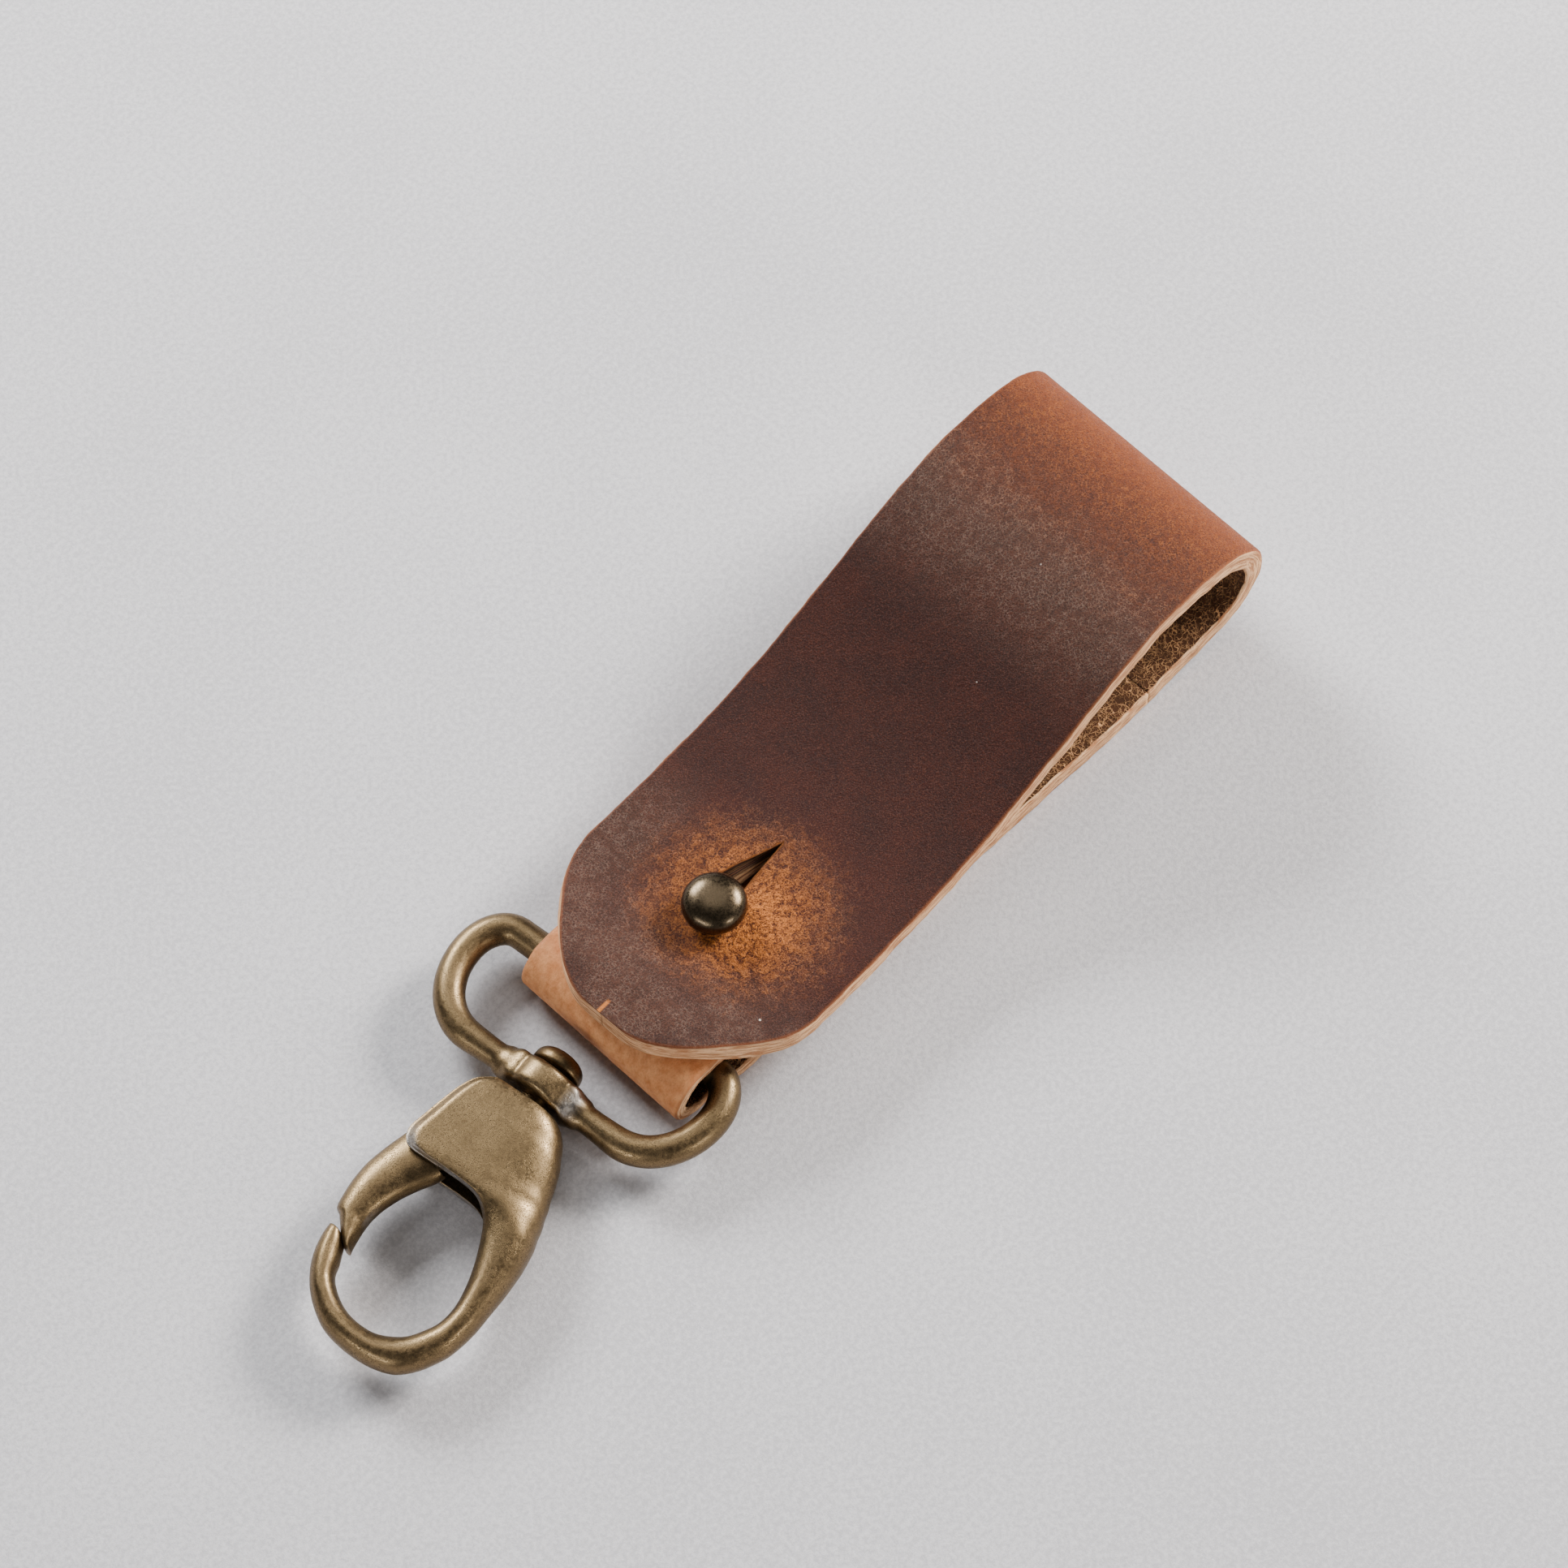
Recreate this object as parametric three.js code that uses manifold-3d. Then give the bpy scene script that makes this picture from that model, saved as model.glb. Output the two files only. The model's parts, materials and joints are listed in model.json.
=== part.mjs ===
// A leather belt-loop key holder: a folded strap that buttons over a stud, and a swivel snap hook.
// Millimetres, +Z up. The strap lies along X with its belt fold at +X and the hook at -X.
// The origin is the middle of the flat back face that the strap rests on.
import * as THREE from 'three';
import { mergeVertices } from 'three/addons/utils/BufferGeometryUtils.js';
import Module from 'manifold-3d';

const wasm = await Module();
wasm.setup();

// Driving dimensions. Lengths along X are measured from the stud's axis.
const originFromStud = 20;        // the stud stands this far towards the hook from the origin

const strap = {
  width: 36.5,                    // at the belt fold and along the flap
  thickness: 3.1,
  loopLength: 79.7,               // stud axis to the outside of the belt fold
  loopHeight: 22.5,               // table to the crown of the belt loop
  crownFromFold: 17.7,            // the highest point, back from the outside of the fold
  hingeHeight: 10,                // where the leather bends when the flap is opened
  restLength: 56,                 // the back layer lies flat from the fold at the hook to here
  flatLength: 8,                  // the flap starts to rise this far past the stud
  hingeGap: 0.3,
  landingPull: 8, crownRise: 7, crownPull: 9, fallPull: 15, settlePull: 28,  // how round the loop's bends are
  liftFrom: 2.5, liftPull: 3.5, liftEase: 4,  // the flap's rise over the wrapped bar
};
const tab = {                     // the back layer's end, thinned and turned round the ring's bar
  thickness: 1.8,
  sideGap: 3.65,                  // room inside the ring on each side
  neckLength: 2,                  // where the back layer's taper ends, past the bar
  shoulder: 0.9,                  // step in half width between the taper and the turned end
  turnedLength: 25.6,             // bar to the hidden end between the layers
  foldGap: 0.5,                   // leather to bar
  skiveFrom: 9,                   // bar to where the leather starts to thin
  neckSlope: 2.5,
  dropPull: 3, dropEase: 3.4, dropLength: 8,  // how the turned end comes down off the bar
};
const layerGap = 0.3;             // between touching layers
const stud = {
  headDiameter: 7.7, headHeight: 4.1, headRaise: 0.4, headWaist: 0.45, neckDiameter: 4.2,
  flangeDiameter: 10, flangeThickness: 0.6, flangeGap: 0.2,
  barrelDiameter: 4.2, boreDiameter: 2.6, boreRoof: 0.7, holeGap: 0.3,
};
const screw = { headDiameter: 8, headThickness: 0.9, chamfer: 0.3, shankGap: 0.3,
  slotWidth: 0.9, slotDepth: 0.45 };
const buttonHole = { headGap: 0.45, slitLength: 11, slitWidth: 0.8 };
const ring = {                    // the oval swivel loop
  insideWidth: 32.9, wire: 3.9, barFromStud: 14.6,
  nearSide: 13.9,                 // bar to the boss, between centres
  widestAt: 4.8, lobeDepth: 14,   // bar to where the lobes are widest, and to their near side
  barCorner: 3.1, nearCorner: 7.4,
  sideways: 2.3, yaw: 4.5,
  straight: 3.5,                  // half of the arm that runs straight through the boss
};
const boss = { diameter: 8.1, thickness: 3.6, boreGap: 0.35 };
const rivet = { shank: 3.3, headDiameter: 6.5, headHeight: 2.4, rim: 0.3, faceGap: 0.35,
  tailGap: 0.3, tail: 0.7 };
const hook = {
  length: 36.3,                   // top of the body to the bottom of the ring
  width: 21.5,                    // across the ring
  thickness: 7.8,                 // across the two side plates
  ringThickness: 4.6,
  neckThickness: 6.2,
  topWall: 3.2,                   // solid metal above the hollow
  mouth: 12.9,                    // the plates' lower edge, from the top
  hollow: 4.6,                    // between the plates
  topGap: 0.35,                   // body to boss
  yaw: 2.6,                       // the hook leans this much further than the ring
};
const gate = { sideGap: 0.3, pivotDown: 6.3, pivotAcross: 4.6, knuckle: 2.9, noseGap: 0.45, forkWidth: 2.3 };
const pin = { diameter: 2, runningGap: 0.1, holeGap: 0.3, blindWall: 0.6, recess: 0.2 };
const spring = { wire: 0.45, coilGap: 0.35, pitch: 0.56, turns: 2.5, longLeg: 5, shortLeg: 5.2,
  forkRoom: 1.5 };
const overcut = 1;                // how far a cutting block runs past what it cuts

// Heights that follow from the layers
const ringHeight = tab.thickness + tab.foldGap + ring.wire / 2;
const tabTop = strap.thickness + layerGap + tab.thickness;
const flangeBottom = tabTop + layerGap;
const flapBottom = flangeBottom + stud.flangeThickness + stud.flangeGap;
const foldTop = ringHeight + ring.wire / 2 + tab.foldGap + tab.thickness;
const tabHalf = ring.insideWidth / 2 - tab.sideGap;

const bossFace = Math.max(boss.thickness, ring.wire) / 2;
const barSlack = tabHalf * Math.sin(THREE.MathUtils.degToRad(ring.yaw));  // room for the ring to stand askew

const leather = new THREE.MeshStandardMaterial({ color: 0x57321f, roughness: 0.6, metalness: 0 });
const turnedLeather = new THREE.MeshStandardMaterial({ color: 0x6b3d22, roughness: 0.62, metalness: 0 });
const brass = { color: 0x7a6238, roughness: 0.38, metalness: 1 };
const steel = { color: 0x8c8880, roughness: 0.35, metalness: 1 };

const at = (x, y) => new THREE.Vector2(x, y);

// A closed three.js geometry as a solid with its faces outwards
function solid(geometry) {
  const bare = geometry.index ? geometry.toNonIndexed() : geometry.clone();
  for (const name of Object.keys(bare.attributes)) if (name !== 'position') bare.deleteAttribute(name);
  const merged = mergeVertices(bare, 1e-4);
  const vertProperties = new Float32Array(merged.attributes.position.array);
  const triVerts = new Uint32Array(merged.index.array).filter((v, i, all) => {
    const [a, b, c] = all.slice(i - (i % 3), i - (i % 3) + 3);
    return a !== b && b !== c && c !== a;
  });
  const corner = (k) => new THREE.Vector3().fromArray(vertProperties, 3 * triVerts[k]);
  let volume = 0;
  for (let k = 0; k < triVerts.length; k += 3) volume += corner(k).dot(corner(k + 1).cross(corner(k + 2)));
  if (volume < 0) triVerts.reverse();
  return new wasm.Manifold(new wasm.Mesh({ numProp: 3, vertProperties, triVerts }));
}

// A solid as a three.js geometry
function geometryOf(body) {
  const mesh = body.getMesh();
  const geometry = new THREE.BufferGeometry();
  geometry.setAttribute('position', new THREE.BufferAttribute(mesh.vertProperties, 3));
  geometry.setIndex(new THREE.BufferAttribute(mesh.triVerts, 1));
  return geometry;
}

function addPart(group, name, body, material) {
  const geometry = geometryOf(body);
  geometry.computeVertexNormals();
  const mesh = new THREE.Mesh(geometry, material);
  mesh.name = name;
  group.add(mesh);
  return mesh;
}

// A flat outline made into a block between two heights
function blockZ(shape, bottom, top, curveSegments = 12) {
  const options = { depth: top - bottom, bevelEnabled: false, curveSegments };
  const geometry = new THREE.ExtrudeGeometry(shape, options);
  return solid(geometry.translate(0, 0, bottom));
}

// An outline drawn in X and Z made into a block of a width across Y
function blockY(shape, width, curveSegments = 12) {
  const geometry = new THREE.ExtrudeGeometry(shape, { depth: width, bevelEnabled: false, curveSegments });
  return solid(geometry.rotateX(Math.PI / 2).translate(0, width / 2, 0));
}

function turned(points, segments = 36) {
  return solid(new THREE.LatheGeometry(points.map(([r, z]) => at(r, z)), segments).rotateX(Math.PI / 2));
}

function rodZ(radius, bottom, top, x, y, segments = 32) {
  const geometry = new THREE.CylinderGeometry(radius, radius, top - bottom, segments);
  return solid(geometry.rotateX(Math.PI / 2).translate(x, y, (bottom + top) / 2));
}

function rodX(radius, from, to, segments = 32) {
  const geometry = new THREE.CylinderGeometry(radius, radius, to - from, segments);
  return solid(geometry.rotateZ(Math.PI / 2).translate((from + to) / 2, 0, 0));
}

function box(x0, x1, y0, y1, z0, z1) {
  const geometry = new THREE.BoxGeometry(x1 - x0, y1 - y0, z1 - z0);
  return solid(geometry.translate((x0 + x1) / 2, (y0 + y1) / 2, (z0 + z1) / 2));
}

// The outline of a band of leather that follows a middle line: each point is x, z and thickness
function bandShape(points) {
  const sides = [[], []];
  points.forEach(([x, z, thickness], i) => {
    const before = points[Math.max(i - 1, 0)];
    const after = points[Math.min(i + 1, points.length - 1)];
    const along = at(after[0] - before[0], after[1] - before[1]).normalize();
    [1, -1].forEach((side, s) => {
      sides[s].push(at(x - side * along.y * thickness / 2, z + side * along.x * thickness / 2));
    });
  });
  return new THREE.Shape([...sides[0], ...sides[1].reverse()]);
}

// Points of a cubic curve between two [x, z] ends, with a thickness that changes evenly along it
function bend(start, pull1, pull2, end, steps, t0, t1 = t0) {
  const curve = new THREE.CubicBezierCurve(at(...start), at(...pull1), at(...pull2), at(...end));
  return curve.getPoints(steps).map((p, i) => [p.x, p.y, t0 + (t1 - t0) * i / steps]);
}

// The belt fold's middle line: the crown, the outermost point at the hinge, and the landing on the table
const half = strap.thickness / 2;
const foldX = strap.loopLength - half;
const crown = [strap.loopLength - strap.crownFromFold, strap.loopHeight - half];

// The leather round the ring's bar, from under it to over it
function barWrap() {
  const radius = ring.wire / 2 + tab.foldGap + tab.thickness / 2;
  const steps = 12;
  return Array.from({ length: steps + 1 }, (_, i) => {
    const angle = -Math.PI / 2 - Math.PI * i / steps;
    const x = -ring.barFromStud - barSlack + radius * Math.cos(angle);
    return [x, ringHeight + radius * Math.sin(angle), tab.thickness];
  });
}

// Back layer: up to the hinge at the belt fold at one end, and round the ring's bar at the other
function strapBack() {
  const bottomTurn = strap.restLength;
  const skiveStart = -ring.barFromStud + tab.skiveFrom;
  const skiveEnd = -ring.barFromStud + ring.wire / 2 + barSlack;
  const overEnd = -ring.barFromStud + barSlack;
  const tabMiddle = tabTop - tab.thickness / 2;
  const overBar = foldTop - tab.thickness / 2;
  const line = [
    [foldX, strap.hingeHeight + overcut, strap.thickness],
    ...bend([foldX, strap.hingeHeight], [foldX, strap.hingeHeight / 2],
      [foldX - strap.landingPull, half], [bottomTurn, half], 12, strap.thickness),
    [skiveStart, half, strap.thickness],
    [skiveEnd, tab.thickness / 2, tab.thickness],
    ...barWrap(),
    ...bend([overEnd, overBar], [overEnd + tab.dropPull, overBar],
      [overEnd + tab.dropLength - tab.dropEase, tabMiddle],
      [overEnd + tab.dropLength, tabMiddle], 8, tab.thickness),
    [tab.turnedLength - ring.barFromStud, tabMiddle, tab.thickness],
  ];
  const neckX = tab.neckLength - ring.barFromStud;
  const edge = [[strap.loopLength + overcut, strap.width / 2], [bottomTurn, strap.width / 2],
    [neckX + tab.neckSlope, tabHalf + tab.shoulder], [neckX, tabHalf],
    [-ring.barFromStud - foldTop, tabHalf]];
  const otherEdge = edge.map(([x, y]) => at(x, -y)).reverse();
  const plan = new THREE.Shape([...edge.map(([x, y]) => at(x, y)), ...otherEdge]);
  const barrelHole = rodZ(stud.barrelDiameter / 2 + stud.holeGap, -overcut, foldTop, 0, 0);
  const recessTop = screw.headThickness + stud.holeGap;
  const recess = rodZ(screw.headDiameter / 2 + stud.holeGap, -overcut, recessTop, 0, 0);
  return blockY(bandShape(line), strap.width + overcut)
    .intersect(blockZ(plan, -overcut, strap.hingeHeight - strap.hingeGap / 2))
    .subtract(barrelHole).subtract(recess);
}

// Front flap: from the hinge over the crown, down to the stud, then over the wrapped bar to its round end
function strapFlap() {
  const flapMiddle = flapBottom + half;
  const overFold = foldTop + layerGap + half;
  const flatX = strap.flatLength;
  const liftEnd = -ring.barFromStud + barSlack;
  const line = [
    [foldX, strap.hingeHeight - overcut, strap.thickness],
    ...bend([foldX, strap.hingeHeight], [foldX, strap.hingeHeight + strap.crownRise],
      [crown[0] + strap.crownPull, crown[1]], crown, 12, strap.thickness),
    ...bend(crown, [crown[0] - strap.fallPull, crown[1]], [flatX + strap.settlePull, flapMiddle],
      [flatX, flapMiddle], 14, strap.thickness).slice(1),
    ...bend([-strap.liftFrom, flapMiddle], [-strap.liftFrom - strap.liftPull, flapMiddle],
      [liftEnd + strap.liftEase, overFold], [liftEnd, overFold], 8, strap.thickness),
    [-strap.width / 2 - overcut, overFold, strap.thickness],
  ];
  const plan = new THREE.Shape();
  plan.moveTo(strap.loopLength + overcut, -strap.width / 2);
  plan.lineTo(strap.loopLength + overcut, strap.width / 2);
  plan.lineTo(0, strap.width / 2);
  plan.absarc(0, 0, strap.width / 2, Math.PI / 2, Math.PI * 1.5, false);
  plan.lineTo(strap.loopLength + overcut, -strap.width / 2);
  const holeRadius = stud.headDiameter / 2 + buttonHole.headGap;
  const slitAngle = Math.asin(buttonHole.slitWidth / 2 / holeRadius);
  const hole = new THREE.Shape();
  hole.absarc(0, 0, holeRadius, slitAngle, 2 * Math.PI - slitAngle, false);
  hole.lineTo(buttonHole.slitLength, 0);
  hole.closePath();
  const belowHinge = box(foldX - strap.thickness, strap.loopLength + overcut, -strap.width, strap.width,
    0, strap.hingeHeight + strap.hingeGap / 2);
  return blockY(bandShape(line), strap.width + overcut)
    .intersect(blockZ(plan, -overcut, strap.loopHeight + overcut, 20))
    .subtract(blockZ(hole, 0, strap.loopHeight)).subtract(belowHinge);
}

// Button stud: round head, neck, flange between tab and flap, and a bored barrel through tab and back
function buttonStud() {
  const barrelBottom = screw.headThickness + stud.holeGap;
  const flangeTop = flangeBottom + stud.flangeThickness;
  const headBottom = flapBottom + strap.thickness + stud.headRaise;
  const headRadius = stud.headDiameter / 2;
  const headMiddle = headBottom + stud.headHeight * stud.headWaist;
  const head = [-50, -25, 0, 20, 40, 60, 75].map((degrees) => {
    const a = THREE.MathUtils.degToRad(degrees);
    const height = degrees < 0 ? headMiddle - headBottom : headBottom + stud.headHeight - headMiddle;
    return [headRadius * Math.cos(a), headMiddle + height * Math.sin(a)];
  });
  return turned([
    [0, flangeBottom - stud.boreRoof], [stud.boreDiameter / 2, flangeBottom - stud.boreRoof],
    [stud.boreDiameter / 2, barrelBottom], [stud.barrelDiameter / 2, barrelBottom],
    [stud.barrelDiameter / 2, flangeBottom], [stud.flangeDiameter / 2, flangeBottom],
    [stud.flangeDiameter / 2, flangeTop], [stud.neckDiameter / 2, flangeTop],
    [stud.neckDiameter / 2, headBottom], ...head, [0, headBottom + stud.headHeight],
  ]);
}

// Back screw: slotted flat head sunk into the back layer, shank up inside the stud's barrel
function studScrew() {
  const shankRadius = stud.boreDiameter / 2 - screw.shankGap;
  const shankTop = flangeBottom - stud.boreRoof - screw.shankGap;
  const body = turned([[0, 0], [screw.headDiameter / 2 - screw.chamfer, 0],
    [screw.headDiameter / 2, screw.chamfer],
    [screw.headDiameter / 2, screw.headThickness], [shankRadius, screw.headThickness],
    [shankRadius, shankTop], [0, shankTop]]);
  const reach = screw.headDiameter;
  const slotHalf = screw.slotWidth / 2;
  return body.subtract(box(-reach, reach, -slotHalf, slotHalf, -overcut, screw.slotDepth));
}

// A round bar along points, as an extrusion of a circle
function barAlong(points, radius, steps, sides = 12) {
  const path = new THREE.CatmullRomCurve3(points, false, 'centripetal');
  const section = new THREE.Shape();
  section.absarc(0, 0, radius, 0, 2 * Math.PI, false);
  const options = { steps, extrudePath: path, bevelEnabled: false, curveSegments: sides };
  return solid(new THREE.ExtrudeGeometry(section, options));
}

// Swivel ring, drawn from its bar's axis: two lobes joined by the bar, and a bored boss on the near side
function swivelLoop() {
  const outY = ring.insideWidth / 2 + ring.wire / 2;
  const arcSteps = 5;
  const quarter = (side, reachX, reachY, from) => Array.from({ length: arcSteps + 1 }, (_, i) => {
    const angle = from - Math.PI / 2 * i / arcSteps;
    const x = -ring.widestAt + reachX * Math.cos(angle);
    return new THREE.Vector3(x, side * (outY - reachY + reachY * Math.sin(angle)), 0);
  });
  const lobe = (side) => [...quarter(side, ring.lobeDepth - ring.widestAt, ring.nearCorner, Math.PI),
    ...quarter(side, ring.widestAt, ring.barCorner, Math.PI / 2).slice(1)];
  const arm = (y) => new THREE.Vector3(-ring.nearSide, y, 0);
  const path = [arm(rivet.shank / 2), arm(ring.straight), ...lobe(1), new THREE.Vector3(0, 0, 0),
    ...lobe(-1).reverse(), arm(-ring.straight), arm(-rivet.shank / 2)];
  const from = -ring.nearSide - boss.thickness / 2;
  const to = -ring.nearSide + boss.thickness / 2;
  return barAlong(path, ring.wire / 2, 60).add(rodX(boss.diameter / 2, from, to))
    .subtract(rodX(rivet.shank / 2 + boss.boreGap, from - ring.wire, to + ring.wire));
}

// The hook's own pieces are drawn from the boss's centre, with "down" running along -X to the ring's end
const bodyTop = bossFace + hook.topGap;
const down = (distance) => -(bodyTop + distance);

// Rivet: domed head inside the ring, shank through the boss into the body, spread tail in the hollow
function swivelRivet() {
  const face = bossFace + rivet.faceGap;
  const tailRadius = hook.hollow / 2 - rivet.tailGap;
  const tailStart = down(hook.topWall) - pin.holeGap;
  const rise = rivet.headHeight;
  const headRadius = rivet.headDiameter / 2;
  const dome = [70, 45, 20].map((degrees) => {
    const a = THREE.MathUtils.degToRad(degrees);
    return [headRadius * Math.sin(a), face + rise * rivet.rim + rise * (1 - rivet.rim) * Math.cos(a)];
  });
  const profile = [[0, tailStart - rivet.tail], [tailRadius, tailStart - rivet.tail],
    [tailRadius, tailStart], [rivet.shank / 2, tailStart], [rivet.shank / 2, face],
    [headRadius, face], [headRadius, face + rise * rivet.rim], ...dome, [0, face + rise]];
  const shape = new THREE.LatheGeometry(profile.map(([r, x]) => at(r, x)), 32);
  return solid(shape.rotateZ(-Math.PI / 2));
}

// Outline points given as distance down the hook and sideways towards the gate, as shares of
// the hook's length and width where they belong to its overall shape
const drop = (share) => down(hook.length * share);
const side = (share) => hook.width * share;

function hookOutline() {
  const outline = new THREE.Shape();
  outline.moveTo(drop(0.0), side(-0.19));
  outline.lineTo(drop(0.0), side(0.18));
  outline.splineThru([at(drop(0.045), side(0.29)), at(drop(0.14), side(0.35)), at(drop(0.31), side(0.41))]);
  outline.lineTo(down(hook.mouth), side(0.34));
  outline.lineTo(down(hook.mouth), side(-0.07));
  outline.splineThru([at(drop(0.40), side(-0.2)), at(drop(0.56), side(-0.33)), at(drop(0.685), side(-0.375)),
    at(drop(0.80), side(-0.34)), at(drop(0.875), side(-0.235)), at(drop(0.905), side(-0.09)),
    at(drop(0.89), side(0.075)), at(drop(0.845), side(0.21)), at(drop(0.775), side(0.3))]);
  outline.lineTo(drop(0.725), side(0.365));
  outline.lineTo(drop(0.68), side(0.455));
  outline.splineThru([at(drop(0.765), side(0.44)), at(drop(0.865), side(0.37)), at(drop(0.95), side(0.225)),
    at(drop(0.997), side(0.03)), at(drop(0.997), side(-0.18)), at(drop(0.97), side(-0.33)),
    at(drop(0.905), side(-0.44)), at(drop(0.80), side(-0.525)), at(drop(0.625), side(-0.548)),
    at(drop(0.44), side(-0.53)), at(drop(0.22), side(-0.42)), at(drop(0.06), side(-0.29)),
    at(drop(0.0), side(-0.19))]);
  return outline;
}

// Hook body: two side plates joined at the top and down the spine, which runs on into the ring and nose
function hookBody() {
  const body = blockZ(hookOutline(), -hook.thickness / 2, hook.thickness / 2, 3);
  const halves = [[0, hook.neckThickness], [0.14, hook.thickness], [0.34, hook.thickness],
    [0.62, hook.ringThickness], [1, hook.ringThickness]];
  const profile = halves.map(([share, thickness]) => [drop(share), thickness / 2]);
  profile[0][0] += overcut;
  profile[profile.length - 1][0] -= overcut;
  const lower = profile.map(([x, z]) => at(x, -z)).reverse();
  const flanks = new THREE.Shape([...profile.map(([x, z]) => at(x, z)), ...lower]);
  const hollow = new THREE.Shape([at(down(hook.topWall), side(0.7)), at(down(hook.topWall), side(-0.7)),
    at(drop(0.265), side(-0.7)), at(drop(0.31), side(-0.34)), at(drop(0.42), side(-0.195)),
    at(drop(0.5), side(0.0)), at(drop(0.5), side(0.7))]);
  const bore = rodX(rivet.shank / 2 + pin.holeGap, down(hook.topWall + overcut), 0);
  const pinX = down(gate.pivotDown);
  const holeTop = pinTop() + pin.holeGap;
  const pinHole = rodZ(pin.diameter / 2 + pin.holeGap, -hook.thickness, holeTop, pinX, gate.pivotAcross);
  return body.intersect(blockY(flanks, hook.width * 2))
    .subtract(blockZ(hollow, -hook.hollow / 2, hook.hollow / 2)).subtract(bore).subtract(pinHole);
}

const pinTop = () => hook.thickness / 2 - pin.blindWall - pin.holeGap;

// Gate: knuckle round the pin, a bowed finger, and a stepped tip that closes inside the nose
function hookGate() {
  const depth = hook.hollow / 2 - gate.sideGap;
  const x = down(gate.pivotDown);
  const y = gate.pivotAcross;
  const tip = gate.noseGap;
  const outline = new THREE.Shape();
  outline.moveTo(x, y + gate.knuckle);
  outline.absarc(x, y, gate.knuckle, Math.PI / 2, -Math.PI * 0.62, true);
  outline.splineThru([at(down(hook.mouth) - 0.7, side(0.135)), at(drop(0.49), side(0.24)),
    at(drop(0.62), side(0.275))]);
  outline.lineTo(drop(0.745), side(0.262));
  outline.lineTo(drop(0.765) + tip, side(0.3) - tip);
  outline.lineTo(drop(0.725) + tip, side(0.365) - tip);
  outline.lineTo(drop(0.665) + tip, side(0.425));
  outline.lineTo(drop(0.645) + tip, side(0.485));
  outline.splineThru([at(drop(0.46), side(0.515)), at(drop(0.30), side(0.45)), at(x, y + gate.knuckle)]);
  const forkEnd = down(gate.pivotDown + spring.longLeg + spring.forkRoom);
  const forkSide = y + gate.knuckle * 0.75;
  const fork = box(forkEnd, 0, y - gate.knuckle * 2, forkSide, -gate.forkWidth / 2, gate.forkWidth / 2);
  return blockZ(outline, -depth, depth, 3)
    .subtract(rodZ(pin.diameter / 2 + pin.runningGap, -depth - overcut, depth + overcut, x, y))
    .subtract(fork);
}

function gatePin() {
  const bottom = -hook.thickness / 2 + pin.recess;
  return rodZ(pin.diameter / 2, bottom, pinTop(), down(gate.pivotDown), gate.pivotAcross);
}

// Torsion spring: a coil round the pin in the gate's fork, one leg along the gate, one on the top wall
function gateSpring() {
  const radius = pin.diameter / 2 + spring.coilGap + spring.wire / 2;
  const x = down(gate.pivotDown);
  const y = gate.pivotAcross;
  const height = spring.pitch * spring.turns;
  const steps = Math.round(spring.turns * 12);
  const start = Math.PI / 2;
  const coil = Array.from({ length: steps + 1 }, (_, i) => {
    const angle = start - 2 * Math.PI * spring.turns * i / steps;
    const z = height / 2 - height * i / steps;
    return new THREE.Vector3(x + radius * Math.cos(angle), y + radius * Math.sin(angle), z);
  });
  const legAt = (dx, dy, z) => new THREE.Vector3(x + dx, y + dy, z);
  const points = [legAt(-spring.longLeg, radius, height / 2), legAt(-spring.longLeg / 2, radius, height / 2),
    ...coil, legAt(radius * 0.5, -radius, -height / 2), legAt(radius, -spring.shortLeg, -height / 2)];
  return barAlong(points, spring.wire / 2, 76, 6);
}

const keyHolder = new THREE.Group();
keyHolder.position.x = -originFromStud;

addPart(keyHolder, 'strap_back', strapBack(), turnedLeather);
addPart(keyHolder, 'strap_flap', strapFlap(), leather);
addPart(keyHolder, 'button_stud', buttonStud(), new THREE.MeshStandardMaterial(brass));
addPart(keyHolder, 'stud_screw', studScrew(), new THREE.MeshStandardMaterial(brass));

const swivel = new THREE.Group();
swivel.position.set(-ring.barFromStud, ring.sideways, ringHeight);
swivel.rotation.z = THREE.MathUtils.degToRad(ring.yaw);
keyHolder.add(swivel);
addPart(swivel, 'swivel_loop', swivelLoop(), new THREE.MeshStandardMaterial(brass));

const snapHook = new THREE.Group();
snapHook.position.x = -ring.nearSide;
snapHook.rotation.z = THREE.MathUtils.degToRad(hook.yaw);
swivel.add(snapHook);
addPart(snapHook, 'swivel_rivet', swivelRivet(), new THREE.MeshStandardMaterial(brass));
addPart(snapHook, 'hook_body', hookBody(), new THREE.MeshStandardMaterial(brass));
addPart(snapHook, 'hook_gate', hookGate(), new THREE.MeshStandardMaterial(brass));
addPart(snapHook, 'gate_pin', gatePin(), new THREE.MeshStandardMaterial(steel));
addPart(snapHook, 'gate_spring', gateSpring(), new THREE.MeshStandardMaterial(steel));

export default keyHolder;
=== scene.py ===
import json
import math
import bpy
import numpy as np
from mathutils import Matrix, Vector


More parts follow.
